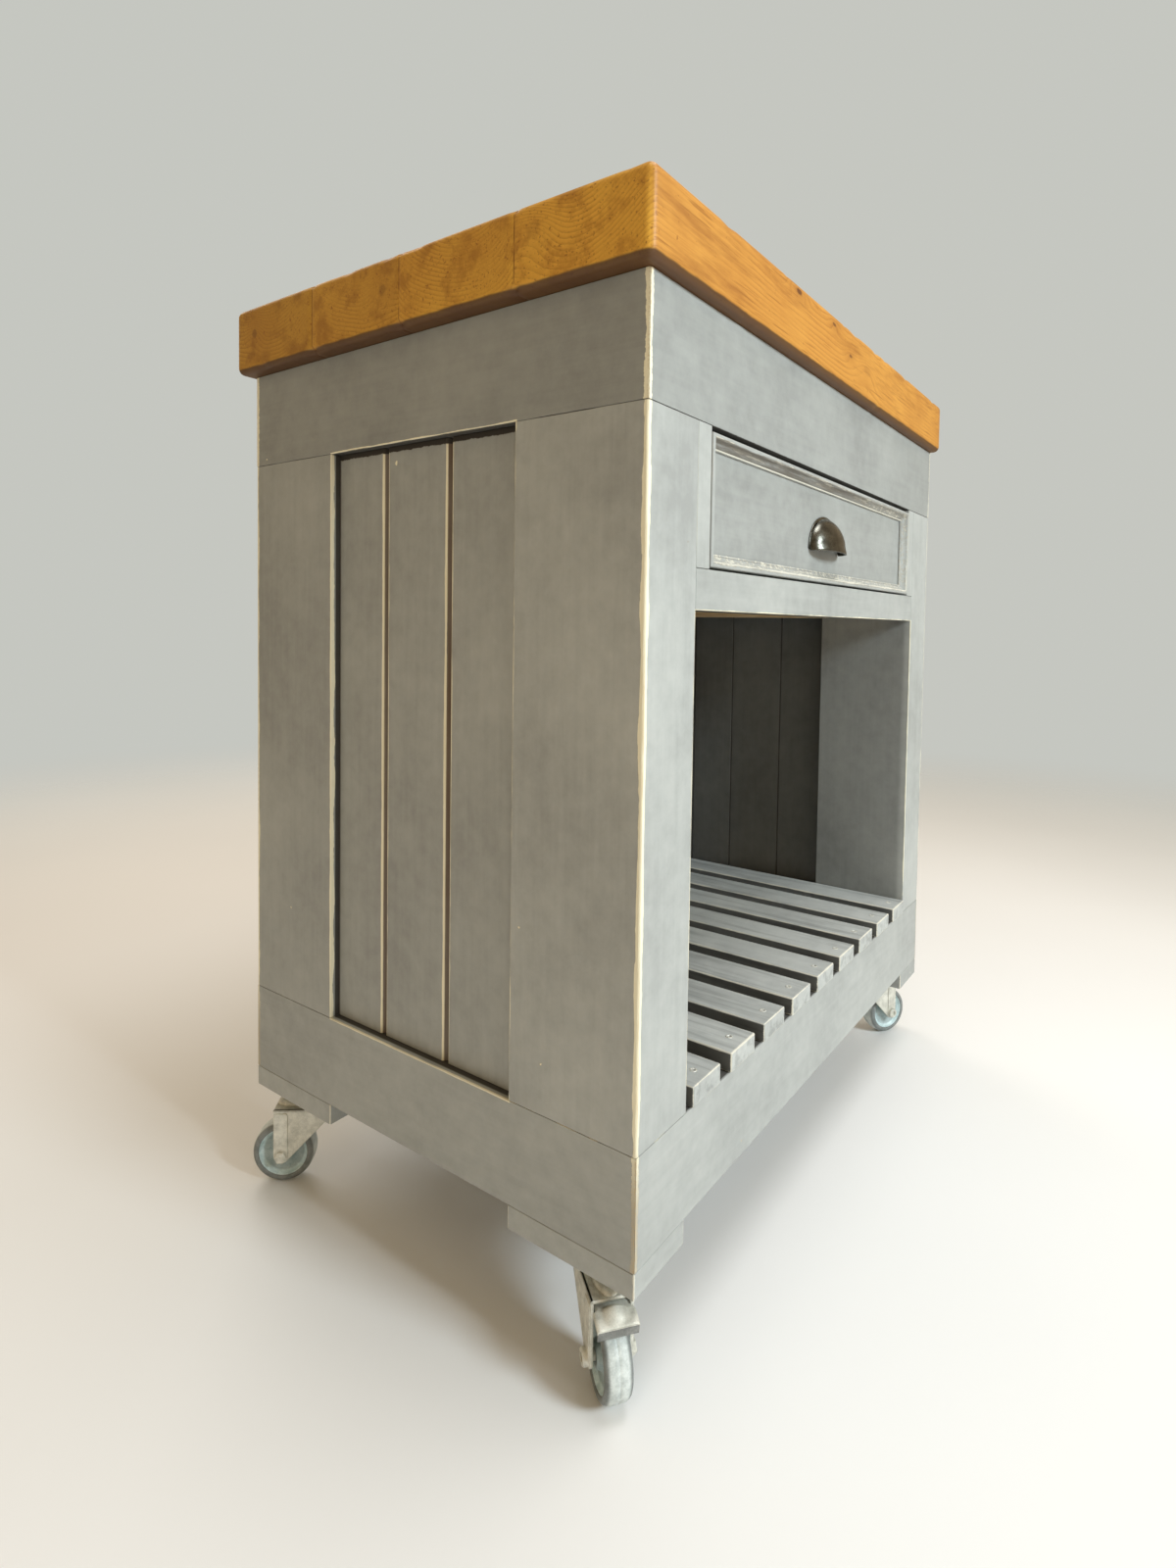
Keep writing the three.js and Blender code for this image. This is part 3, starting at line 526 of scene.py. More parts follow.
def pine(name, order, stops, knots=(), boards=(), under=None, roughness=(0.40, 0.58)):
    """Solid pine. order lists the axes across, up and along the grain. boards gives the joints
    across it, so that every board has its own heart. Each knot is (place, radius, darkness).
    under is the height below which the timber is drawn dark brown, painted shade on the underside."""
    s = Shader(name)
    seed = s.prop("seed")
    moved = s.vector("ADD", s.place, seed)
    axes = s.split(s.place)
    across, up, along = (axes[i] for i in order)
    grain = order[2]
    drawn = s.stretch(moved, grain, FIBRE_DRAW)
    pale, brown, dark = stops[0][1], stops[2][1], stops[3][1]
    # Each board's own heart, which the rings go round.
    index, seam = 0.0, 0.0
    for limit in boards:
        index = index + s.math("GREATER_THAN", across, limit)
        seam = s.high(seam, on_plane(s, across - limit))
    luck = s.split(s.value("TexWhiteNoise", {"W": index + BOARD_LUCK}, 1, noise_dimensions="1D"))
    if boards:
        across = across - index * BOARD_PITCH - FIRST_HEART - s.spread(luck[0], -0.05, 0.05)
        up = up - s.spread(s.math("ROUND", luck[1]), 0.79, 0.95)
    else:
        chosen = s.split(seed)
        across = across - chosen[0] * 0.02
        up = up - chosen[1] * 0.05
    up = up + along * s.spread(luck[2], -0.05, 0.05)
    # Rings, bent by the knots and fading into plain grain in patches.
    bend, knot_core, knot_ring = pine_knots(s, knots, moved, grain)
    sway = s.noise(s.join(along * 2.4, across * 9.0, up * 9.0), 1.0, 3.0, 0.5)
    reach = s.length(s.join(across, up, 0.0)) + sway * 0.016 + bend
    phase = s.math("FRACT", reach / RING_PITCH) + s.jitter(0.3, moved, 240.0, 3.0)
    fibre = s.noise(drawn, 800.0, 4.0, 0.65)
    cloud = s.noise(moved, 12.0, 4.0, 0.6)
    plain = s.ramp(fibre * 0.45 + cloud * 0.55, [(0.34, brown), (0.62, pale)])
    patch = s.step(s.noise(moved, 16.0, 3.0, 0.6), 0.38, 0.66)
    colour = s.mix(s.spread(patch, 0.12, 0.62), plain, s.ramp(phase, stops))
    smudge = s.step(s.noise(s.stretch(moved, grain, SMUDGE_STRETCH), 34.0, 5.0, 0.68), 0.46, 0.68)
    colour = s.mix(smudge * 0.74, colour, dark)
    if boards:
        # Painted shade: each board further back is drawn darker.
        per_board_shade = index * -0.10 + 1.02
        middle, half = sum(ENDS) / 2, (ENDS[1] - ENDS[0]) / 2
        # Painted light: the end faces are drawn lighter.
        end = s.step(abs(along - middle), half - 5 * MM, half - 1 * MM)
        colour = s.shade(colour, *(per_board_shade * s.spread(end, 1.0, gain) for gain in END_FACE_LIGHT))
    fleck = s.step(s.noise(drawn, 190.0 * 2.5, 2.0, 0.5), 0.62, 0.70)
    spots = s.step(s.noise(moved, 190.0, 2.0, 0.6), 0.68, 0.75)
    colour = s.mix(spots * 0.8, s.mix(fleck * 0.75, colour, dark), dark)
    if knots:
        colour = s.mix(knot_core, s.mix(knot_ring, colour, dark), KNOT_COLOUR)
    if boards:
        seam = seam * s.step(s.noise(moved, 70.0, 3.0), 0.38, 0.55)
        colour = s.mix(seam * 0.6, colour, KNOT_COLOUR)
    if under is not None:
        # Painted shade: the worktop's underside is drawn dark brown.
        height = axes[2] + s.jitter(1.4 * MM, moved, 55.0, 3.0)
        shaded_below = s.step(height, under + 0.9 * MM, under - 0.9 * MM)
        colour = s.mix(shaded_below * 0.9, colour, UNDERSIDE_SHADE)
    normal = s.bump(fibre * 0.5 + cloud * 0.8, 0.0004, 0.5)
    return s.finish(colour, s.spread(fibre, *roughness), normal, Specular_IOR_Level=0.38)


# ------------------------------------------------------------------ metal and rubber


def metal(name, dark, light, roughness, scale, metallic=1.0, polish=0.0):
    """Plated or cast metal: mottled tone, fine scuffs and a rubbed shine in patches."""
    s = Shader(name)
    cloud = s.noise(s.place, scale, 4.0, 0.6)
    grit = s.noise(s.place, scale * 9.0, 3.0, 0.6)
    mixed = cloud * 0.7 + grit * 0.3
    colour = s.ramp(mixed, [(0.36, dark), (0.62, light)])
    rough = s.spread(mixed, *roughness)
    if polish:
        rough = rough - s.step(cloud, 0.52, 0.66) * polish
    return s.finish(colour, rough, s.bump(grit, 0.00015, 0.5), Metallic=metallic)


# The castor wheel's half width, and where its centre's outer ring starts, in millimetres.
WHEEL_HALF, RING_RADIUS = 11.5, 23.0


def rubber(name, dark, light, roughness=(0.42, 0.62), walls=1.0, ring=1.0):
    """Moulded castor rubber with a dusty bloom and small scuffs. walls is how dark the tyre's
    side walls are next to its tread, and ring how dark the centre is inside its outer ring."""
    s = Shader(name)
    cloud = s.noise(s.place, 110.0, 4.0, 0.65)
    grit = s.noise(s.place, 900.0, 3.0, 0.6)
    colour = s.ramp(cloud * 0.75 + grit * 0.25, [(0.38, dark), (0.60, light)])
    from_hub = s.vector("SUBTRACT", s.place, s.prop("hub"))
    if ring < 1.0:
        outer = s.step(s.length(from_hub), (RING_RADIUS - 2.5) * MM, RING_RADIUS * MM)
        colour = s.shade(colour, s.spread(outer, ring, 1.0))
    if walls < 1.0:
        aside = abs(s.dot(from_hub, s.prop("axle")))
        wall = s.step(aside, (WHEEL_HALF - 5) * MM, (WHEEL_HALF - 2) * MM)
        colour = s.shade(colour, s.spread(wall, 1.0, walls))
    return s.finish(colour, s.spread(cloud, *roughness), s.bump(grit, 0.0001, 0.4))


BOARD_LIMITS = (-0.127, 0.003, 0.124)
WORKTOP_KNOTS = (
    ((-0.134, -0.251, 0.892), 0.0030, 0.9),
    ((-0.044, -0.251, 0.889), 0.0022, 0.7),
    ((0.005, -0.251, 0.871), 0.0022, 0.7),
    ((0.058, -0.251, 0.869), 0.0060, 0.15),
    ((0.379, -0.251, 0.884), 0.0045, 0.45),
    ((-0.142, -0.250, 0.899), 0.0035, 0.6),
    ((-0.383, -0.145, 0.878), 0.0085, 0.15),
    ((-0.383, 0.024, 0.872), 0.0060, 0.35),
    ((-0.383, 0.218, 0.872), 0.0050, 0.45),
    ((0.060, -0.090, 0.900), 0.0090, 0.9),
    ((-0.210, 0.070, 0.900), 0.0100, 0.9),
    ((0.240, 0.190, 0.900), 0.0080, 0.8),
    ((0.394, 0.060, 0.868), 0.0070, 0.5),
    ((-0.050, 0.251, 0.866), 0.0060, 0.7),
)
WORKTOP_UNDER = node_span("worktop")[2][0] + 4.6 * MM
SIDE_DEPTH = (0, sum(node_span("side_panel_right")[0]) / 2)
BACK_DEPTH = (1, sum(node_span("back_panel")[1]) / 2)
RAW_ROUGHNESS = (0.55, 0.75)

# The dark and the pale tone of each.
IRON = rgb(0.040, 0.038, 0.032), rgb(0.175, 0.170, 0.145)
ZINC_SHADED = rgb(0.15, 0.155, 0.150), rgb(0.31, 0.315, 0.30)
MATERIALS = {
    "frame": frame_paint(),
    "side_panel": panel_paint("side_panel_paint", 1, SIDE_JOINT, SIDE_PITCH, RECESS_Y, SIDE_DEPTH),
    "back_panel": panel_paint("back_panel_paint", 0, BACK_JOINT, BACK_PITCH, OPENING_X, BACK_DEPTH),
    "board": board_paint("board_paint"),
    "slat": board_paint("slat_paint", shaded_sides=True),
    "worktop": pine("worktop_pine", (1, 2, 0), PINE_WAXED, WORKTOP_KNOTS, BOARD_LIMITS, WORKTOP_UNDER),
    "pine_x": pine("raw_pine_across", (1, 2, 0), PINE_RAW, roughness=RAW_ROUGHNESS),
    "pine_y": pine("raw_pine_deep", (0, 2, 1), PINE_RAW, roughness=RAW_ROUGHNESS),
    "iron": metal("antique_iron", *IRON, (0.20, 0.40), 70.0, 1.0, 0.06),
    "zinc": metal("zinc_plate", rgb(0.50, 0.50, 0.44), rgb(0.80, 0.79, 0.71), (0.36, 0.52), 120.0, 0.35),
    "zinc_dark": metal("zinc_shaded", *ZINC_SHADED, (0.38, 0.52), 120.0, 0.45),
    "tyre": rubber("castor_tyre", rgb(0.46, 0.51, 0.50), rgb(0.72, 0.77, 0.75), walls=0.34),
    "centre": rubber("castor_centre", rgb(0.42, 0.56, 0.58), rgb(0.70, 0.84, 0.85), (0.3, 0.45), ring=0.62),
}


# ------------------------------------------------------------------ CAD boards

GRAIN_DRAW = 0.055
JOINED = 1.0
# Painted shade: how much darker each board is drawn than the posts, where less light falls on it.
BOARD_SHADING = {
    "top_rail_front": 0.76,
    "top_rail_left": 0.78,
    "top_rail_right": 0.84,
    "top_rail_back": 0.86,
    "side_panel_left": 0.92,
    "drawer_front": 0.84,
    "mid_rail": 0.94,
    "post_rear_left": 0.87,
    "base_rail_left": 0.95,
}
random.seed(2601)


def random_shift():
    """A place in the noise, so that no two pieces have the same marks."""
    return [random.uniform(-9.0, 9.0) for _ in range(3)]


def soften(obj, width, angle=30.0):
    """Rounds an object's edges and keeps its flat faces flat."""
    bevel = obj.modifiers.new("ease", "BEVEL")
    bevel.width = width
    bevel.segments = 2
    bevel.limit_method = "ANGLE"
    bevel.angle_limit = math.radians(angle)
    normals = obj.modifiers.new("normals", "WEIGHTED_NORMAL")
    normals.keep_sharp = False
    return obj


def ease(obj, width, arris):
    """Rounds a CAD board's edges without touching its mesh. arris rounds the edge that stands
    on the body's corner by more."""
    obj.data.shade_smooth()
    weld = obj.modifiers.new("weld", "WELD")
    weld.merge_threshold = 0.02 * MM
    flat = obj.modifiers.new("flat", "DECIMATE")
    flat.decimate_type = "DISSOLVE"
    flat.angle_limit = math.radians(1.0)
    if arris:
        group = obj.vertex_groups.new(name="arris")
        reach_x, reach_y = BODY_X - 0.3 * MM, BODY_Y - 0.3 * MM
        points = obj.data.vertices
        corner = [v.index for v in points if abs(v.co.x) > reach_x and abs(v.co.y) > reach_y]
        group.add(corner, 1.0, "REPLACE")
        rounded = obj.modifiers.new("arris", "BEVEL")
        rounded.width = arris
        rounded.segments = 4
        rounded.limit_method = "VGROUP"
        rounded.vertex_group = "arris"
    soften(obj, width)


def dress(node, material, along, wear=1.0 * MM, joined=(), width=1.2 * MM, arris=0.0):
    """Gives a CAD board its paint or timber, with the grain along one axis. Wear stays off the
    ends of any axis in joined, where the board meets another."""
    obj = NODES[node]
    obj.data.materials.clear()
    obj.data.materials.append(MATERIALS[material])
    spans = node_span(node)
    obj["seed"] = random_shift()
    obj["grain"] = one_axis(along, GRAIN_DRAW)
    obj["wear_middle"] = [(low + high) / 2 for low, high in spans]
    half = [(high - low) / 2 for low, high in spans]
    for axis in joined:
        half[axis] += JOINED
    obj["wear_half"] = half
    obj["wear_width"] = wear
    obj["tone"] = BOARD_SHADING.get(node, 1.0) * random.uniform(0.98, 1.02)
    ease(obj, width, arris)


def dress_boards():
    for level in ("top_rail", "base_rail"):
        for side, along in (("front", 0), ("back", 0), ("left", 1), ("right", 1)):
            dress(f"{level}_{side}", "frame", along, width=0.45 * MM)
    for corner in CORNERS:
        dress(f"post_{corner}", "frame", 2, width=0.45 * MM, arris=1.8 * MM)
        dress(f"foot_block_{corner}", "board", 0, joined=(2,), width=1.0 * MM)
    for side in ("left", "right"):
        dress(f"side_panel_{side}", "side_panel", 2, width=0.5 * MM)
    dress("back_panel", "back_panel", 2, width=0.5 * MM)
    for i in range(1, 10):
        dress(f"slat_{i}", "slat", 1, wear=1.1 * MM, width=1.5 * MM)
    dress("mid_rail", "frame", 0, width=0.8 * MM)
    for side in ("left", "right"):
        dress(f"drawer_filler_{side}", "board", 2, wear=0.3 * MM, joined=(2,), width=0.7 * MM)
        dress(f"drawer_runner_{side}", "pine_y", 1)
        dress(f"drawer_side_{side}", "pine_y", 1)
    dress("drawer_front", "board", 0, wear=0.5 * MM, width=0.8 * MM)
    dress("drawer_back", "pine_x", 0)
    dress("drawer_bottom", "pine_x", 0, width=0.4 * MM)


dress_boards()


# ------------------------------------------------------------------ mesh building


def make_piece(name, bm, material, body, replaces=()):
    """Turns a bmesh into a smooth-shaded piece that rides on a CAD body."""
    bmesh.ops.recalc_face_normals(bm, faces=bm.faces)
    mesh = bpy.data.meshes.new(name)
    bm.to_mesh(mesh)
    bm.free()
    mesh.shade_smooth()
    obj = bpy.data.objects.new(name, mesh)
    scene.collection.objects.link(obj)
    obj.data.materials.append(MATERIALS[material])
    obj["seed"] = random_shift()
    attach(obj, body)
    if replaces:
        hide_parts(*replaces)
    return obj


def add_grid(bm, rows, loop_rows=False, loop_columns=False):
    """Adds a quad grid through rows of points, closed round on itself where asked."""
    made = [[bm.verts.new(point) for point in row] for row in rows]
    row_count, column_count = len(made), len(made[0])
    for i in range(row_count if loop_rows else row_count - 1):
        for j in range(column_count if loop_columns else column_count - 1):
            a, b = made[i], made[(i + 1) % row_count]
            k = (j + 1) % column_count
            bm.faces.new((a[j], a[k], b[k], b[j]))
    return made


def circle(radius, height, count, matrix):
    """Points round the matrix's Z axis."""
    points = []
    for i in range(count):
        angle = 2 * math.pi * i / count
        points.append(matrix @ Vector((radius * math.cos(angle), radius * math.sin(angle), height)))
    return points


def add_turned(bm, profile, segments, matrix, closed=False):
    """Adds a profile of (radius, height) turned about the matrix's Z axis. An open profile ends
    on the axis or is capped flat."""
    rows = [circle(radius, height, segments, matrix) for radius, height in profile]
    made = add_grid(bm, rows, loop_rows=closed, loop_columns=True)
    if not closed:
        cap(bm, made)


def cap(bm, made):
    """Closes a grid's first and last rows."""
    bm.faces.new(made[0])
    bm.faces.new(list(reversed(made[-1])))


def add_prism(bm, outline, y0, y1, matrix):
    """Adds an outline of (x, z) given a thickness from y0 to y1."""
    near = [bm.verts.new(matrix @ Vector((x, y0, z))) for x, z in outline]
    far = [bm.verts.new(matrix @ Vector((x, y1, z))) for x, z in outline]
    count = len(outline)
    bm.faces.new(near)
    bm.faces.new(list(reversed(far)))
    for i in range(count):
        k = (i + 1) % count
        bm.faces.new((near[i], far[i], far[k], near[k]))


def arc(centre, radius, start, end, count):
    """Points on an arc, angles in degrees."""
    points = []
    for i in range(count + 1):
        angle = math.radians(start + (end - start) * i / count)
        points.append((centre[0] + radius * math.cos(angle), centre[1] + radius * math.sin(angle)))
    return points


# ------------------------------------------------------------------ worktop

WORKTOP_RADIUS = 7 * MM
WORKTOP_STEP = 7 * MM
EDGE_STEPS = 4
JOINT_HALF = 0.7 * MM
JOINT_DEPTH = 0.35 * MM
CHIP_COUNT = 46
# The dent at each end of a joint, low and high: its radius and its depth.
JOINT_CHIPS = ((7.0 * MM, 2.6 * MM), (5.0 * MM, 1.2 * MM))


def slab_lines(low, high, extra=()):
    """Grid lines along one axis of the slab: close together in the rounded edge."""
    r = WORKTOP_RADIUS
    edge = [r * i / EDGE_STEPS for i in range(EDGE_STEPS)]
    inner_low, inner_high = low + r, high - r
    count = max(1, round((inner_high - inner_low) / WORKTOP_STEP))
    inner = [inner_low + (inner_high - inner_low) * i / count for i in range(count + 1)]
    lines = [low + e for e in edge] + inner + [high - e for e in reversed(edge)]
    near = WORKTOP_STEP * 0.3
    kept = [line for line in lines if all(abs(line - e) > near for e in extra)]
    return sorted(kept + list(extra))


def worktop_chips(span):
    """Dents along the worktop's lower and upper arrises, and one at the end of each joint."""
    (x0, x1), (y0, y1), (z0, z1) = span
    chips = []
    for limit in BOARD_LIMITS:
        for x in (x0, x1):
            for z, (radius, deep) in zip((z0, z1), JOINT_CHIPS):
                chips.append((Vector((x, limit, z)), radius, deep))
    for _ in range(CHIP_COUNT):
        z = random.choice((z0, z1))
        if random.random() < 0.6:
            place = (random.uniform(x0, x1), random.choice((y0, y1)), z)
        else:
            place = (random.choice((x0, x1)), random.uniform(y0, y1), z)
        chips.append((Vector(place), random.uniform(4, 13) * MM, random.uniform(0.4, 1.5) * MM))
    return chips


def make_worktop():
    span = node_span("worktop")
    joints = [limit + offset for limit in BOARD_LIMITS for offset in (-JOINT_HALF, 0.0, JOINT_HALF)]
    lines = [slab_lines(*span[0]), slab_lines(*span[1], joints), slab_lines(*span[2])]
    low = Vector([side[0] for side in span])
    high = Vector([side[1] for side in span])
    middle = (low + high) / 2
    radius = Vector((WORKTOP_RADIUS, WORKTOP_RADIUS, WORKTOP_RADIUS))
    inset_low, inset_high = low + radius, high - radius
    chips = worktop_chips(span)
    lean = [random.uniform(-0.2, 0.2) * MM for _ in range(len(BOARD_LIMITS) + 1)]

    def shaped(point):
        p = Vector(point)
        inner = Vector([min(max(p[i], inset_low[i]), inset_high[i]) for i in range(3)])
        away = p - inner
        if away.length > 1e-9:
            p = inner + away.normalized() * WORKTOP_RADIUS
        inward = (middle - p).normalized()
        depth = 0.0
        for limit in BOARD_LIMITS:
            depth = max(depth, JOINT_DEPTH * (1 - abs(point[1] - limit) / JOINT_HALF))
        on_end = min(abs(point[0] - low[0]), abs(point[0] - high[0])) < 1e-6
        on_flat = min(abs(point[2] - low[2]), abs(point[2] - high[2])) < 1e-6
        if depth > 0 and on_end:
            p.x += depth * math.copysign(1, inward.x)
        if depth > 0 and on_flat:
            p.z += depth * math.copysign(1, inward.z)
        board = sum(point[1] > limit for limit in BOARD_LIMITS)
        if on_end:
            p.x += math.copysign(1, inward.x) * (0.25 * MM + lean[board])
        for place, radius, deep in chips:
            gap = (Vector(point) - place).length
            if gap < radius:
                p += (middle - place).normalized() * deep * (1 - gap / radius) ** 0.8
                p.z += math.copysign(deep, middle.z - place.z) * (1 - gap / radius) * 0.7
        return p

    bm = bmesh.new()
    known = {}

    def vertex(point):
        key = tuple(round(value, 7) for value in point)
        if key not in known:
            known[key] = bm.verts.new(shaped(point))
        return known[key]

    for axis in range(3):
        u, v = [i for i in range(3) if i != axis]
        for side in (span[axis][0], span[axis][1]):
            for i in range(len(lines[u]) - 1):
                for j in range(len(lines[v]) - 1):
                    corners = []
                    for du, dv in ((0, 0), (1, 0), (1, 1), (0, 1)):
                        point = [0.0, 0.0, 0.0]
                        point[axis] = side
                        point[u] = lines[u][i + du]
                        point[v] = lines[v][j + dv]
                        corners.append(vertex(point))
                    bm.faces.new(corners)
    make_piece("worktop_boards", bm, "worktop", "cart_body", ["worktop"])


make_worktop()


# ------------------------------------------------------------------ drawer moulding

MOULDING_DRAW = 0.08
# The moulding's section: how far in from the drawer's edge, and how far out from the field, in
# millimetres.
MOULDING_SECTION = (
    (0.15, 0.15),
    (0.15, 8.2),
    (0.9, 9.0),
    (4.1, 9.0),
    (4.9, 8.3),
    (5.3, 7.0),
    (6.4, 5.2),
    (8.0, 3.7),
    (9.4, 2.9),
    (9.9, 2.2),
    (10.6, 2.6),
    (11.4, 2.3),
    (11.9, 1.4),
    (12.0, 0.15),
)


def make_moulding():
    (x0, x1), (_, y1), (z0, z1) = node_span("drawer_moulding")
    steps = (40, 9, 40, 9)
    corners = [((x0, z0), (1, 1)), ((x1, z0), (-1, 1)), ((x1, z1), (-1, -1)), ((x0, z1), (1, -1))]
    rows = []
    for index, ((cx, cz), (sx, sz)) in enumerate(corners):
        (nx, nz), (tx, tz) = corners[(index + 1) % 4]
        for i in range(steps[index]):
            t = i / steps[index]
            row = []
            for inward, out in MOULDING_SECTION:
                inset = inward * MM
                start = Vector((cx + sx * inset, cz + sz * inset))
                end = Vector((nx + tx * inset, nz + tz * inset))
                flat = start.lerp(end, t)
                row.append((flat.x, y1 - out * MM, flat.y))
            rows.append(row)
    bm = bmesh.new()
    made = add_grid(bm, rows, loop_rows=True)
    for i in range(len(made)):
        a, b = made[i], made[(i + 1) % len(made)]
        bm.faces.new((a[0], b[0], b[-1], a[-1]))
    replaced = ["drawer_moulding"]
    piece = make_piece("drawer_moulding_frame", bm, "moulding", "drawer", replaced)
    piece["grain"] = one_axis(0, MOULDING_DRAW)
    piece["tone"] = 0.93
    soften(piece, 0.3 * MM, angle=28.0)


def moulding_paint():
    """The top member's slope is darkened and flecked, most at the left, the bottom one is flecked cream,
    and the right one is rubbed on its outer arris. Painted shade lies in the inner quirk, heaviest on the
    top and right members, and a painted shadow runs along the top edge below the gap over the drawer."""
    s = Shader("moulding_paint")
    moved, drawn = paint_brushing(s)
    (x0, x1), _, (z0, z1) = node_span("drawer_moulding")
    x, _, z = s.split(s.place)
    mid_x, mid_z = (x0 + x1) / 2, (z0 + z1) / 2
    from_side = (x1 - x0) / 2 - abs(x - mid_x)
    from_end = (z1 - z0) / 2 - abs(z - mid_z)
    inward = s.low(from_side, from_end)
    lying = s.step(from_side - from_end, -0.2 * MM, 0.2 * MM)
    drawn = s.mix(lying, s.stretch(moved, 2, MOULDING_DRAW), drawn)
    top = lying * s.math("GREATER_THAN", z, mid_z)
    bottom = lying * s.math("LESS_THAN", z, mid_z)
    right = (1.0 - lying) * s.math("GREATER_THAN", x, mid_x)
    rag = s.noise(drawn, 160.0, 4.0, 0.7)
    reach = inward + (rag - 0.5) * (4.0 * MM)
    slope = s.step(reach, 2.9 * MM, 3.9 * MM) * s.step(inward, 10.8 * MM, 9.8 * MM)
    paler = s.step(x, 0.02, 0.16)
    smear = slope * s.step(rag, 0.8, 0.42) * (top * s.spread(paler, 1.0, 0.4) * 0.85 + bottom * 0.1)
    flecks = s.step(s.noise(drawn, 300.0, 3.0, 0.65), 0.5, 0.64) * 0.85
    fleck_band = s.step(inward, 2.4 * MM, 3.4 * MM) * s.step(inward, 9.5 * MM, 7.0 * MM)
    flecked = flecks * fleck_band * s.high(top, bottom)
    mottled = s.step(s.noise(moved, 260.0, 4.0, 0.7), 0.44, 0.62) * s.step(inward, 1.0 * MM, 4.0 * MM)
    mottled = mottled * 0.75 * s.high(bottom, top * paler, right * 0.7)
    inner_lip = abs(inward - 11.0 * MM) / (0.6 * MM) + (1.0 - top) * 0.9
    outer_lip = abs(inward - 0.4 * MM) / (1.1 * MM) + (1.0 - right) * 1.1
    arris = abs(inward - 4.4 * MM) / (0.9 * MM) + s.spread(bottom, 1.0, 0.4)
    worn = s.high(
        flecked,
        mottled,
        worn_mask(s, inner_lip, moved, drawn, 1.6, 1.2),
        worn_mask(s, outer_lip, moved, drawn, 1.4, 1.2),
        worn_mask(s, arris, moved, drawn, 2.4, 2.0),
    )
    # Painted shade in the quirk, and a painted shadow along the top edge below the drawer gap.
    quirk = s.step(abs(inward - 10.1 * MM), 0.55 * MM, 0.2 * MM)
    over = s.step(z, z1 - 0.9 * MM, z1 - 0.3 * MM)
    grime_and_shade = s.high(smear, quirk * s.spread(s.high(top, right), 0.35, 0.85), over * 0.8)
    tone = s.number("tone")
    return paint_finish(s, worn, 0.0, grime_and_shade, tone, moved, drawn, primer=WORN_GREY, wax_and_shade=MOULDING_DARK_AND_SHADE)


MATERIALS["moulding"] = moulding_paint()
make_moulding()


# ------------------------------------------------------------------ cup pull

PULL_AROUND, PULL_DOWN = 48, 18
PULL_METAL = 1.6 * MM
PULL_FLANGE = 2.2 * MM
# Below 1 this makes the cup squarer than an ellipse.
PULL_SQUARE = 0.85


def make_pull():
    (x0, x1), (y0, y1), (z0, z1) = node_span("cup_pull")
    middle = (x0 + x1) / 2
    half, reach, height = (x1 - x0) / 2, y1 - y0, z1 - z0
    dome = half - PULL_FLANGE, reach - 0.2 * MM, height - PULL_FLANGE

    def point(theta, phi, shrink):
        a, p, h = (size - shrink for size in dome)
        bead, groove = math.exp(-((phi / 0.10) ** 2)), math.exp(-(((phi - 0.30) / 0.10) ** 2))
        swell = 1.0 + 0.05 * bead - 0.035 * groove
        ring = math.sin(theta) ** PULL_SQUARE
        return (
            middle + a * math.cos(theta) * (1 + 0.02 * math.sin(phi)),
            y1 - p * ring * math.cos(phi) * swell / 1.05,
            z0 + h * ring * math.sin(phi),
        )

    def flange(theta, out, y):
        grow = PULL_FLANGE * out
        return (
            middle + (dome[0] * 1.02 - 0.4 * MM + grow) * math.cos(theta),
            y,
            z0 + (dome[2] + grow) * math.sin(theta) ** PULL_SQUARE,
        )

    rows = []
    for i in range(PULL_AROUND + 1):
        theta = math.pi * (0.012 + 0.976 * i / PULL_AROUND)
        outer = [point(theta, math.pi / 2 * j / PULL_DOWN, 0.0) for j in range(PULL_DOWN)]
        inner = [point(theta, math.pi / 2 * j / PULL_DOWN, PULL_METAL) for j in range(PULL_DOWN, -1, -1)]
        edge = [
            flange(theta, 0.0, y1 - 1.5 * MM),
            flange(theta, 0.75, y1 - 1.3 * MM),
            flange(theta, 1.0, y1 - 0.8 * MM),
            flange(theta, 1.0, y1 - 0.1 * MM),
            flange(theta, -0.6, y1 - 0.1 * MM),
        ]
        rows.append(outer + edge + inner)
    bm = bmesh.new()
    cap(bm, add_grid(bm, rows, loop_columns=True))
    make_piece("cup_pull_shell", bm, "iron", "drawer", ["cup_pull"])


make_pull()


# ------------------------------------------------------------------ castors

# One castor in its own frame, in millimetres: swivel axis on Z, plate top on z = 0, and the wheel
# trailing towards +X.
PLATE_HALF, PLATE_CORNER, PLATE_THICK, SCREW_PLACE = 30, 5, 3, 22
BOSS_RADIUS, BOSS_DEPTH = 17, 6
TRAIL, DROP = 38, 62.5
LEG_IN, LEG_OUT, LEG_RIB = 14.4, 17.0, 18.0
CROWN_TOP, CROWN_UNDER = -14, -16.6
EYE, BAND_HALF = 8, 6.9
LEG_TAIL = TRAIL + EYE
AXLE_UP = Matrix.Translation((TRAIL, 0, -DROP)) @ Matrix.Rotation(math.radians(-90), 4, "X")
SCALE = Matrix.Scale(MM, 4)
WHEEL_RADIUS = 31.5
BRAKE_COLUMNS = 20
BRAKE_METAL = 2.0
# The brake lever's stations: how far along, how far down, half its width, and its rib's height.
BRAKE_STATIONS = (
    (11.0, 20.6, 13.0, 0.0),
    (40.0, 20.6, 13.0, 0.0),
    (46.5, 20.4, 13.2, 0.6),
    (48.5, 20.0, 15.6, 3.0),
    (52.0, 19.8, 16.4, 4.6),
    (56.0, 20.3, 16.5, 3.6),
    (59.5, 21.2, 16.5, 1.5),
    (62.0, 22.0, 16.5, 0.3),
    (63.6, 22.8, 16.5, 0.0),
)


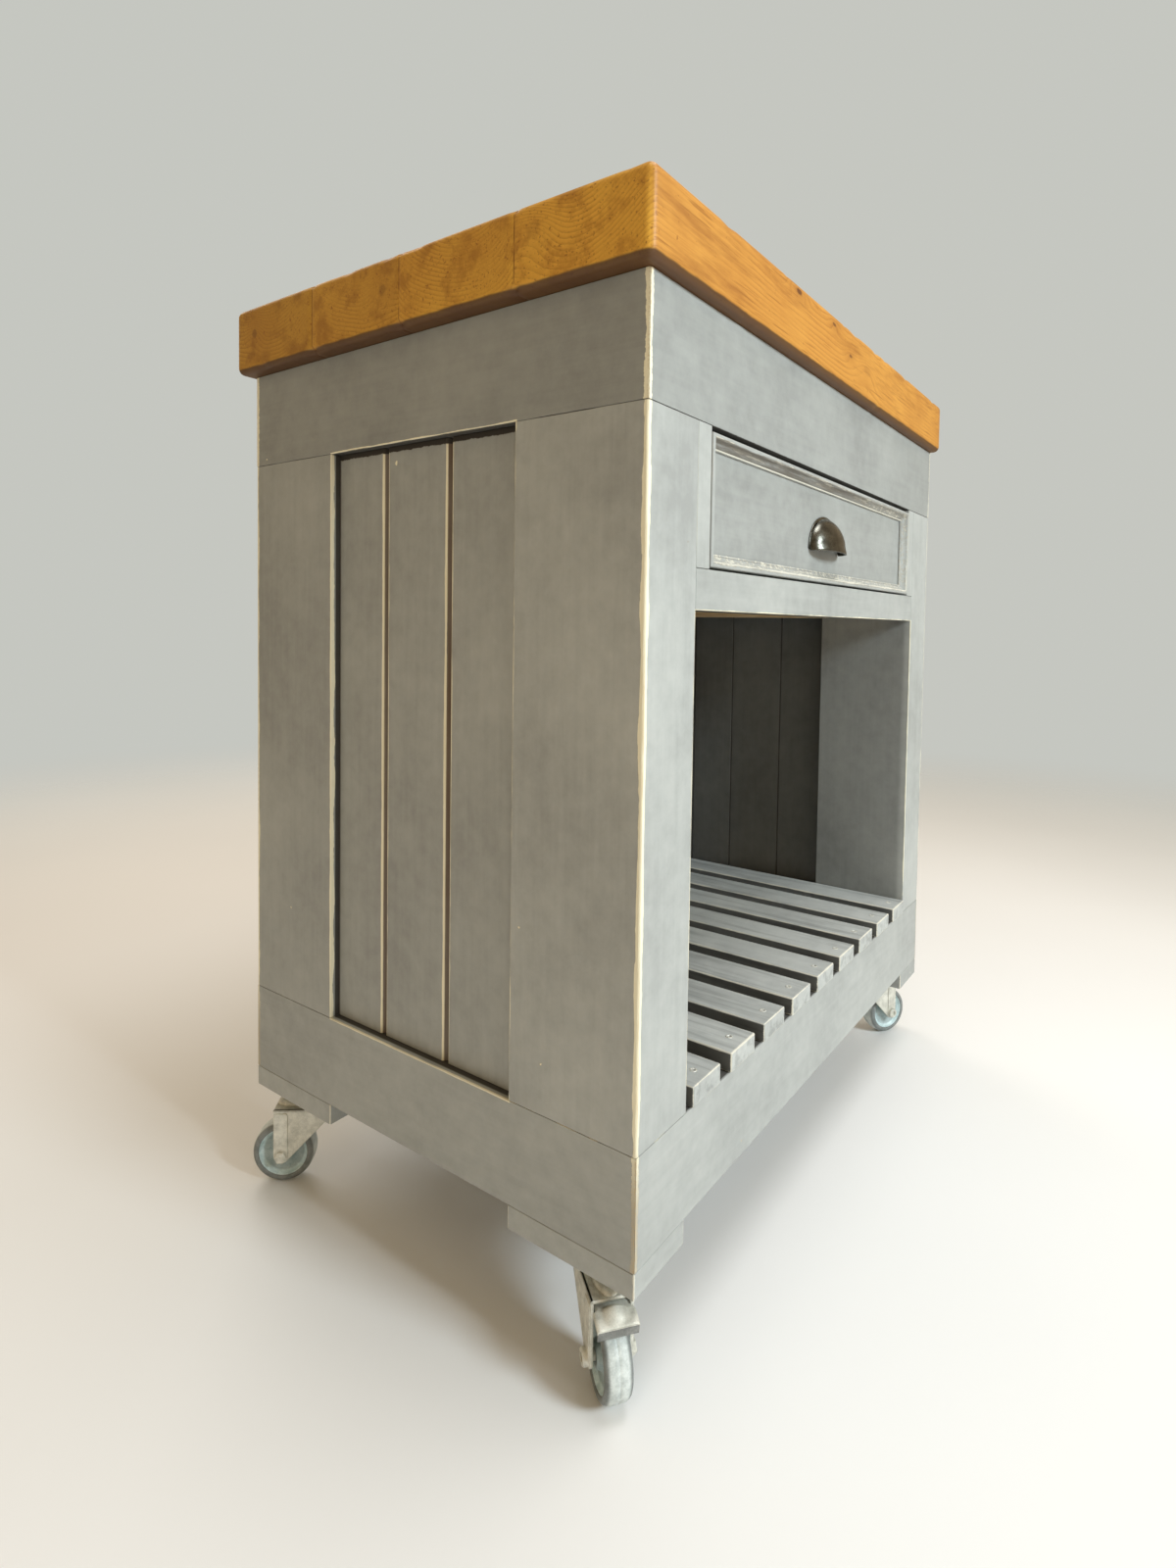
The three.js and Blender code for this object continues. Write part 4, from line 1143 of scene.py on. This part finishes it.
def plate_matrix(corner):
    """Places a castor's plate under its foot block, square with the body."""
    x, y, _ = JOINTS[f"swivel_{corner}"]["pos_m"]
    return Matrix.Translation((x, y, node_span(f"foot_block_{corner}")[2][0])) @ SCALE


def castor_matrix(corner):
    """Places the rest of a castor, turned the way that its wheel trails."""
    swivel = Vector(JOINTS[f"swivel_{corner}"]["pos_m"])
    wheel = Vector(JOINTS[f"wheel_spin_{corner}"]["pos_m"])
    turn = math.atan2(wheel.y - swivel.y, wheel.x - swivel.x)
    return plate_matrix(corner) @ Matrix.Rotation(turn, 4, "Z")


def add_screw_head(bm, matrix, radius, height):
    """Adds a pan head with a cross recess, on z = 0 with its top towards +Z."""
    arm, deep = radius * 0.17, height * 0.55
    long = radius * 0.62
    cross = [
        (long, -arm), (long, arm), (arm, arm), (arm, long), (-arm, long), (-arm, arm),
        (-long, arm), (-long, -arm), (-arm, -arm), (-arm, -long), (arm, -long), (arm, -arm),
    ]
    count = 24
    rings = []
    for across, up in ((1.0, 0.0), (1.0, 0.45), (0.93, 0.8), (0.80, 1.0)):
        ring = circle(radius * across, height * up, count, matrix)
        rings.append([bm.verts.new(point) for point in ring])
    for lower, upper in zip(rings, rings[1:]):
        for i in range(count):
            k = (i + 1) % count
            bm.faces.new((lower[i], lower[k], upper[k], upper[i]))
    bm.faces.new(list(reversed(rings[0])))
    top = [bm.verts.new(matrix @ Vector((x, y, height))) for x, y in cross]
    floor = [bm.verts.new(matrix @ Vector((x, y, height - deep))) for x, y in cross]
    edges = []
    for ring in (rings[-1], top):
        for i in range(len(ring)):
            pair = (ring[i], ring[(i + 1) % len(ring)])
            edges.append(bm.edges.get(pair) or bm.edges.new(pair))
    bmesh.ops.triangle_fill(bm, use_beauty=True, use_dissolve=False, edges=edges)
    for i in range(len(top)):
        k = (i + 1) % len(top)
        bm.faces.new((top[i], top[k], floor[k], floor[i]))
    bm.faces.new(floor)


def rounded_square(half, radius):
    points = []
    for sx, sz, start in ((1, 1, 0), (-1, 1, 90), (-1, -1, 180), (1, -1, 270)):
        centre = (sx * (half - radius), sz * (half - radius))
        points += arc(centre, radius, start, start + 90, 5)
    return points


def make_plate(corner):
    """The pressed plate with its boss, and the four screws that hold it."""
    square = plate_matrix(corner)
    lying = square @ Matrix.Rotation(math.radians(90), 4, "X")
    bm = bmesh.new()
    add_prism(bm, rounded_square(PLATE_HALF, PLATE_CORNER), 0.15, PLATE_THICK, lying)
    boss = [
        (BOSS_RADIUS + 5, -PLATE_THICK + 0.4),
        (BOSS_RADIUS + 4.4, -PLATE_THICK - 0.5),
        (BOSS_RADIUS + 1.2, -PLATE_THICK - 1.2),
        (BOSS_RADIUS, -BOSS_DEPTH + 0.6),
        (BOSS_RADIUS - 1.0, -BOSS_DEPTH),
    ]
    add_turned(bm, boss, 40, square)
    node = f"castor_plate_{corner}"
    piece = make_piece(f"{node}_pressed", bm, "zinc", "cart_body", [node])
    soften(piece, 0.35 * MM)
    screws = bmesh.new()
    for sx in (-1, 1):
        for sy in (-1, 1):
            spot = square @ Matrix.Translation((sx * SCREW_PLACE, sy * SCREW_PLACE, -PLATE_THICK))
            spin = Matrix.Rotation(random.uniform(0, 3), 4, "Z")
            add_screw_head(screws, spot @ Matrix.Rotation(math.pi, 4, "X") @ spin, 4.2, 2.2)
    make_piece(f"castor_screws_{corner}", screws, "zinc", "cart_body")


def leg_outline(grow=0.0):
    """A fork leg in side view: a square shoulder, then a slope down to a round eye."""
    eye = Vector((TRAIL, -DROP))
    shoulder = Vector((-6 - grow, -28))
    away = shoulder - eye
    tangent = math.degrees(math.atan2(away.y, away.x) + math.acos((EYE + grow) / away.length))
    points = [(-6 - grow, CROWN_TOP), tuple(shoulder)]
    points += arc(tuple(eye), EYE + grow, tangent, 360.0, 16)
    points.append((LEG_TAIL + grow, CROWN_TOP))
    return points


def make_fork(corner, place):
    """Two legs with a pressed band down each, joined by a crown that carries the raceway, and
    the domed hood inside the crown."""
    body = f"castor_swivel_{corner}"
    bm = bmesh.new()
    for side in (-1, 1):
        inner, outer, rib = side * LEG_IN, side * LEG_OUT, side * LEG_RIB
        add_prism(bm, leg_outline(), min(inner, outer), max(inner, outer), place)
        band = arc((TRAIL, -DROP), BAND_HALF, 180.0, 360.0, 10)
        for way in (1, -1):
            ends = [(TRAIL + way * BAND_HALF, -20), (TRAIL + way * (BAND_HALF - 1.3), -17.5)]
            band += ends if way > 0 else reversed(ends)
        add_prism(bm, band, min(outer * 0.97, rib), max(outer * 0.97, rib), place)
    corners = ((-21, CROWN_UNDER), (LEG_TAIL, CROWN_UNDER), (LEG_TAIL, CROWN_TOP), (-21, CROWN_TOP))
    add_prism(bm, corners, -LEG_OUT, LEG_OUT, place)
    race = [
        (21.5, CROWN_UNDER + 0.3),
        (22.0, CROWN_TOP - 0.4),
        (21.2, CROWN_TOP + 1.8),
        (18.6, -7.6),
        (17.6, -6.4),
        (12.0, -6.3),
    ]
    add_turned(bm, race, 40, place)
    piece = make_piece(f"castor_yoke_{corner}", bm, "zinc", body, [f"castor_fork_{corner}"])
    soften(piece, 0.6 * MM)
    hood = bmesh.new()
    rows = []
    for i in range(13):
        across = math.pi * i / 12
        row = []
        for j in range(17):
            along = math.pi * (0.02 + 0.96 * j / 16)
            ring = math.sin(along)
            row.append(place @ Vector((
                27 - 18.5 * math.cos(along),
                -10.5 * ring * math.cos(across),
                CROWN_TOP - 0.4 + 6.5 * ring * math.sin(across),
            )))
        rows.append(row)
    made = add_grid(hood, rows)
    hood.faces.new(made[0] + list(reversed(made[-1])))
    for end in (0, -1):
        hood.faces.new([row[end] for row in made])
    make_piece(f"castor_hood_{corner}", hood, "zinc", body)


def mirrored(half):
    """A profile and its mirror image, without repeating a point on the middle line."""
    return half + [(r, -y) for r, y in reversed(half) if y]


def make_wheel(corner, place):
    """The rubber tyre and the plastic centre, each one turned ring."""
    body = f"castor_roller_{corner}"
    h = WHEEL_HALF
    tyre_half = [
        (24.4, h - 2.2),
        (24.9, h - 0.9),
        (25.6, h - 0.5),
        (28.2, h - 0.5),
        (28.8, h - 1.2),
        (29.4, h - 1.3),
        (30.2, h - 2.2),
        (30.9, h - 3.9),
        (31.3, h - 5.9),
        (WHEEL_RADIUS, h - 8.6),
        (WHEEL_RADIUS, 0.5),
        (WHEEL_RADIUS - 0.25, 0.0),
    ]
    across = place @ AXLE_UP
    bm = bmesh.new()
    add_turned(bm, mirrored(tyre_half), 72, across, closed=True)
    node = f"castor_wheel_{corner}"
    tyre = make_piece(f"castor_tyre_{corner}", bm, "tyre", body, [node])
    web = h - 5
    centre_half = [
        (4.8, h - 0.1),
        (8.8, h - 0.1),
        (9.6, h - 0.7),
        (10.6, web + 1.0),
        (12.2, web),
        (17.5, web - 0.5),
        (22.0, web + 0.3),
        (23.4, web + 1.6),
        (24.0, h - 1.9),
        (24.7, h - 1.6),
    ]
    bm = bmesh.new()
    add_turned(bm, mirrored(centre_half), 64, across, closed=True)
    centre = make_piece(f"castor_centre_{corner}", bm, "centre", body)
    for piece in (tyre, centre):
        piece["hub"] = list(JOINTS[f"wheel_spin_{corner}"]["pos_m"])
        piece["axle"] = list(across.to_3x3().col[2].normalized())


def make_axle(corner, place):
    """A bolt through the fork: a socket head on one side, a washer and hex nut on the other."""
    body = f"castor_swivel_{corner}"
    bm = bmesh.new()
    across = place @ AXLE_UP
    seat = LEG_OUT + 0.15
    shank = [(4, -seat - 2), (4, seat + 3.9), (3.4, seat + 4.5)]
    add_turned(bm, shank, 24, across)
    washer = [(6.9, seat), (7, seat + 0.9), (6.7, seat + 1.1)]
    add_turned(bm, washer, 36, across)
    nut = [(6.1, seat + 1), (6.4, seat + 1.5), (6.4, seat + 3.6), (5.7, seat + 4.1)]
    add_turned(bm, nut, 6, across)
    head = [
        (6.6, -seat),
        (6.8, -seat - 0.8),
        (6.4, -seat - 3.6),
        (5.6, -seat - 4.4),
        (3.2, -seat - 4.5),
        (3.0, -seat - 2.6),
    ]
    add_turned(bm, head, 36, across)
    node = f"castor_axle_{corner}"
    piece = make_piece(f"castor_bolt_{corner}", bm, "zinc", body, [node])
    soften(piece, 0.2 * MM)


def make_brake(corner, place):
    """The pressed brake lever: an arm in the fork, then a wide toe that dips to a turned-down
    lip, with a rounded rib down its middle, and a plain shoe under it."""
    rows = []
    for along, drop, half, swell in BRAKE_STATIONS:
        upper, lower = [], []
        for i in range(BRAKE_COLUMNS + 1):
            across = -1 + 2 * i / BRAKE_COLUMNS
            rib = swell * max(0.0, math.cos(across * math.pi * 0.9)) ** 0.7
            turned = 1.1 * max(0.0, (abs(across) - 0.88) / 0.12) ** 2
            height = -drop + rib - turned
            upper.append(place @ Vector((along, across * half, height)))
            lower.append(place @ Vector((along - 0.4, across * half, height - BRAKE_METAL)))
        rows.append(upper + list(reversed(lower)))
    bm = bmesh.new()
    cap(bm, add_grid(bm, rows, loop_columns=True))
    barrel = Matrix.Translation((12, 0, -23.5)) @ Matrix.Rotation(math.radians(90), 4, "X")
    add_turned(bm, [(2.6, -14.1), (2.6, 14.1)], 20, place @ barrel)
    body = f"castor_brake_{corner}"
    node = f"brake_pedal_{corner}"
    piece = make_piece(f"brake_lever_{corner}", bm, "zinc", body, [node])
    soften(piece, 0.4 * MM, angle=40.0)
    shoe = bmesh.new()
    top = -22.9
    outline = [(31, top), (33, top - 3.5), (42, top - 3.5), (44, top)]
    add_prism(shoe, outline, -8, 8, place)
    lip = [(61.4, -23.8), (60.2, -31.6), (61.9, -31.9), (63.5, -24.3)]
    add_prism(shoe, lip, -16.2, 16.2, place)
    pad = make_piece(f"brake_shoe_{corner}", shoe, "zinc_dark", body)
    soften(pad, 0.5 * MM)


for name in CORNERS:
    matrix = castor_matrix(name)
    make_plate(name)
    make_fork(name, matrix)
    make_wheel(name, matrix)
    make_axle(name, matrix)
    if name in BRAKED:
        make_brake(name, matrix)


# ------------------------------------------------------------------ screws

SCREW_FROM_END = 15 * MM
SCREW_SUNK = 0.6 * MM
# In millimetres.
SCREW_RADIUS, SCREW_HEIGHT = 3.4, 1.0


def make_slat_screws():
    """One countersunk screw near each end of every slat, and its head just below the surface."""
    bm = bmesh.new()
    for i in range(1, 10):
        (x0, x1), (y0, y1), (_, z1) = node_span(f"slat_{i}")
        for y in (y0 + SCREW_FROM_END, y1 - SCREW_FROM_END):
            x = (x0 + x1) / 2 + random.uniform(-3, 3) * MM
            spot = Matrix.Translation((x, y + random.uniform(-2, 2) * MM, z1 - SCREW_SUNK))
            spin = Matrix.Rotation(random.uniform(0, math.pi), 4, "Z")
            add_screw_head(bm, spot @ SCALE @ spin, SCREW_RADIUS, SCREW_HEIGHT)
    make_piece("slat_screws", bm, "zinc", "cart_body")


make_slat_screws()


# ------------------------------------------------------------------ floor and light

FLOOR_SOLID, FLOOR_GONE = 1.0, 3.6
BACKDROP = rgb(0.56, 0.57, 0.53)
FILL = rgb(0.465, 0.362, 0.230)


def make_floor():
    """A pale floor that fades out into the backdrop some way off."""
    s = Shader("studio_floor")
    cloud = s.noise(s.place, 1.2, 3.0, 0.5)
    colour = s.ramp(cloud, [(0.3, rgb(0.80, 0.797, 0.790)), (0.7, rgb(0.83, 0.828, 0.822))])
    rough = s.spread(cloud, 0.6, 0.75)
    floor_shader = s.node("BsdfPrincipled", {"Base Color": colour, "Roughness": rough})
    clear = s.node("BsdfTransparent")
    fade = s.node("MixShader", {0: s.step(s.length(s.place), FLOOR_SOLID, FLOOR_GONE)})
    output = s.node("OutputMaterial")
    s.tree.links.new(floor_shader.outputs[0], fade.inputs[1])
    s.tree.links.new(clear.outputs[0], fade.inputs[2])
    s.tree.links.new(fade.outputs[0], output.inputs[0])
    bm = bmesh.new()
    add_grid(bm, [[(-FLOOR_GONE, y, 0), (FLOOR_GONE, y, 0)] for y in (-FLOOR_GONE, FLOOR_GONE)])
    mesh = bpy.data.meshes.new("floor")
    bm.to_mesh(mesh)
    bm.free()
    floor = bpy.data.objects.new("floor", mesh)
    floor.data.materials.append(s.material)
    scene.collection.objects.link(floor)


def add_area(name, place, target, size, power, colour):
    data = bpy.data.lights.new(name, "AREA")
    data.shape = "DISK"
    data.size = size
    data.energy = power
    data.color = colour
    light = bpy.data.objects.new(name, data)
    light.location = place
    light.rotation_euler = (Vector(target) - Vector(place)).to_track_quat("-Z", "Y").to_euler()
    scene.collection.objects.link(light)


def make_light():
    world = bpy.data.worlds.new("studio")
    world.use_nodes = True
    tree = world.node_tree
    tree.nodes.clear()
    seen = tree.nodes.new("ShaderNodeBackground")
    seen.inputs[0].default_value = BACKDROP
    fill = tree.nodes.new("ShaderNodeBackground")
    fill.inputs[0].default_value = FILL
    path = tree.nodes.new("ShaderNodeLightPath")
    mixed = tree.nodes.new("ShaderNodeMixShader")
    output = tree.nodes.new("ShaderNodeOutputWorld")
    tree.links.new(path.outputs["Is Camera Ray"], mixed.inputs[0])
    tree.links.new(fill.outputs[0], mixed.inputs[1])
    tree.links.new(seen.outputs[0], mixed.inputs[2])
    tree.links.new(mixed.outputs[0], output.inputs[0])
    scene.world = world
    add_area("key", (-0.22, -2.50, 1.62), (0.0, -0.25, 0.40), 0.7, 60.0, (0.81, 0.93, 1.0))
    add_area("top", (0.10, -0.75, 3.0), (0.10, -0.70, 0.0), 1.4, 36.0, (0.94, 0.97, 1.0))
    add_area("back", (0.9, 2.8, 2.4), (0.0, 0.2, 0.40), 2.2, 34.0, (1.0, 0.97, 0.92))


make_floor()
make_light()
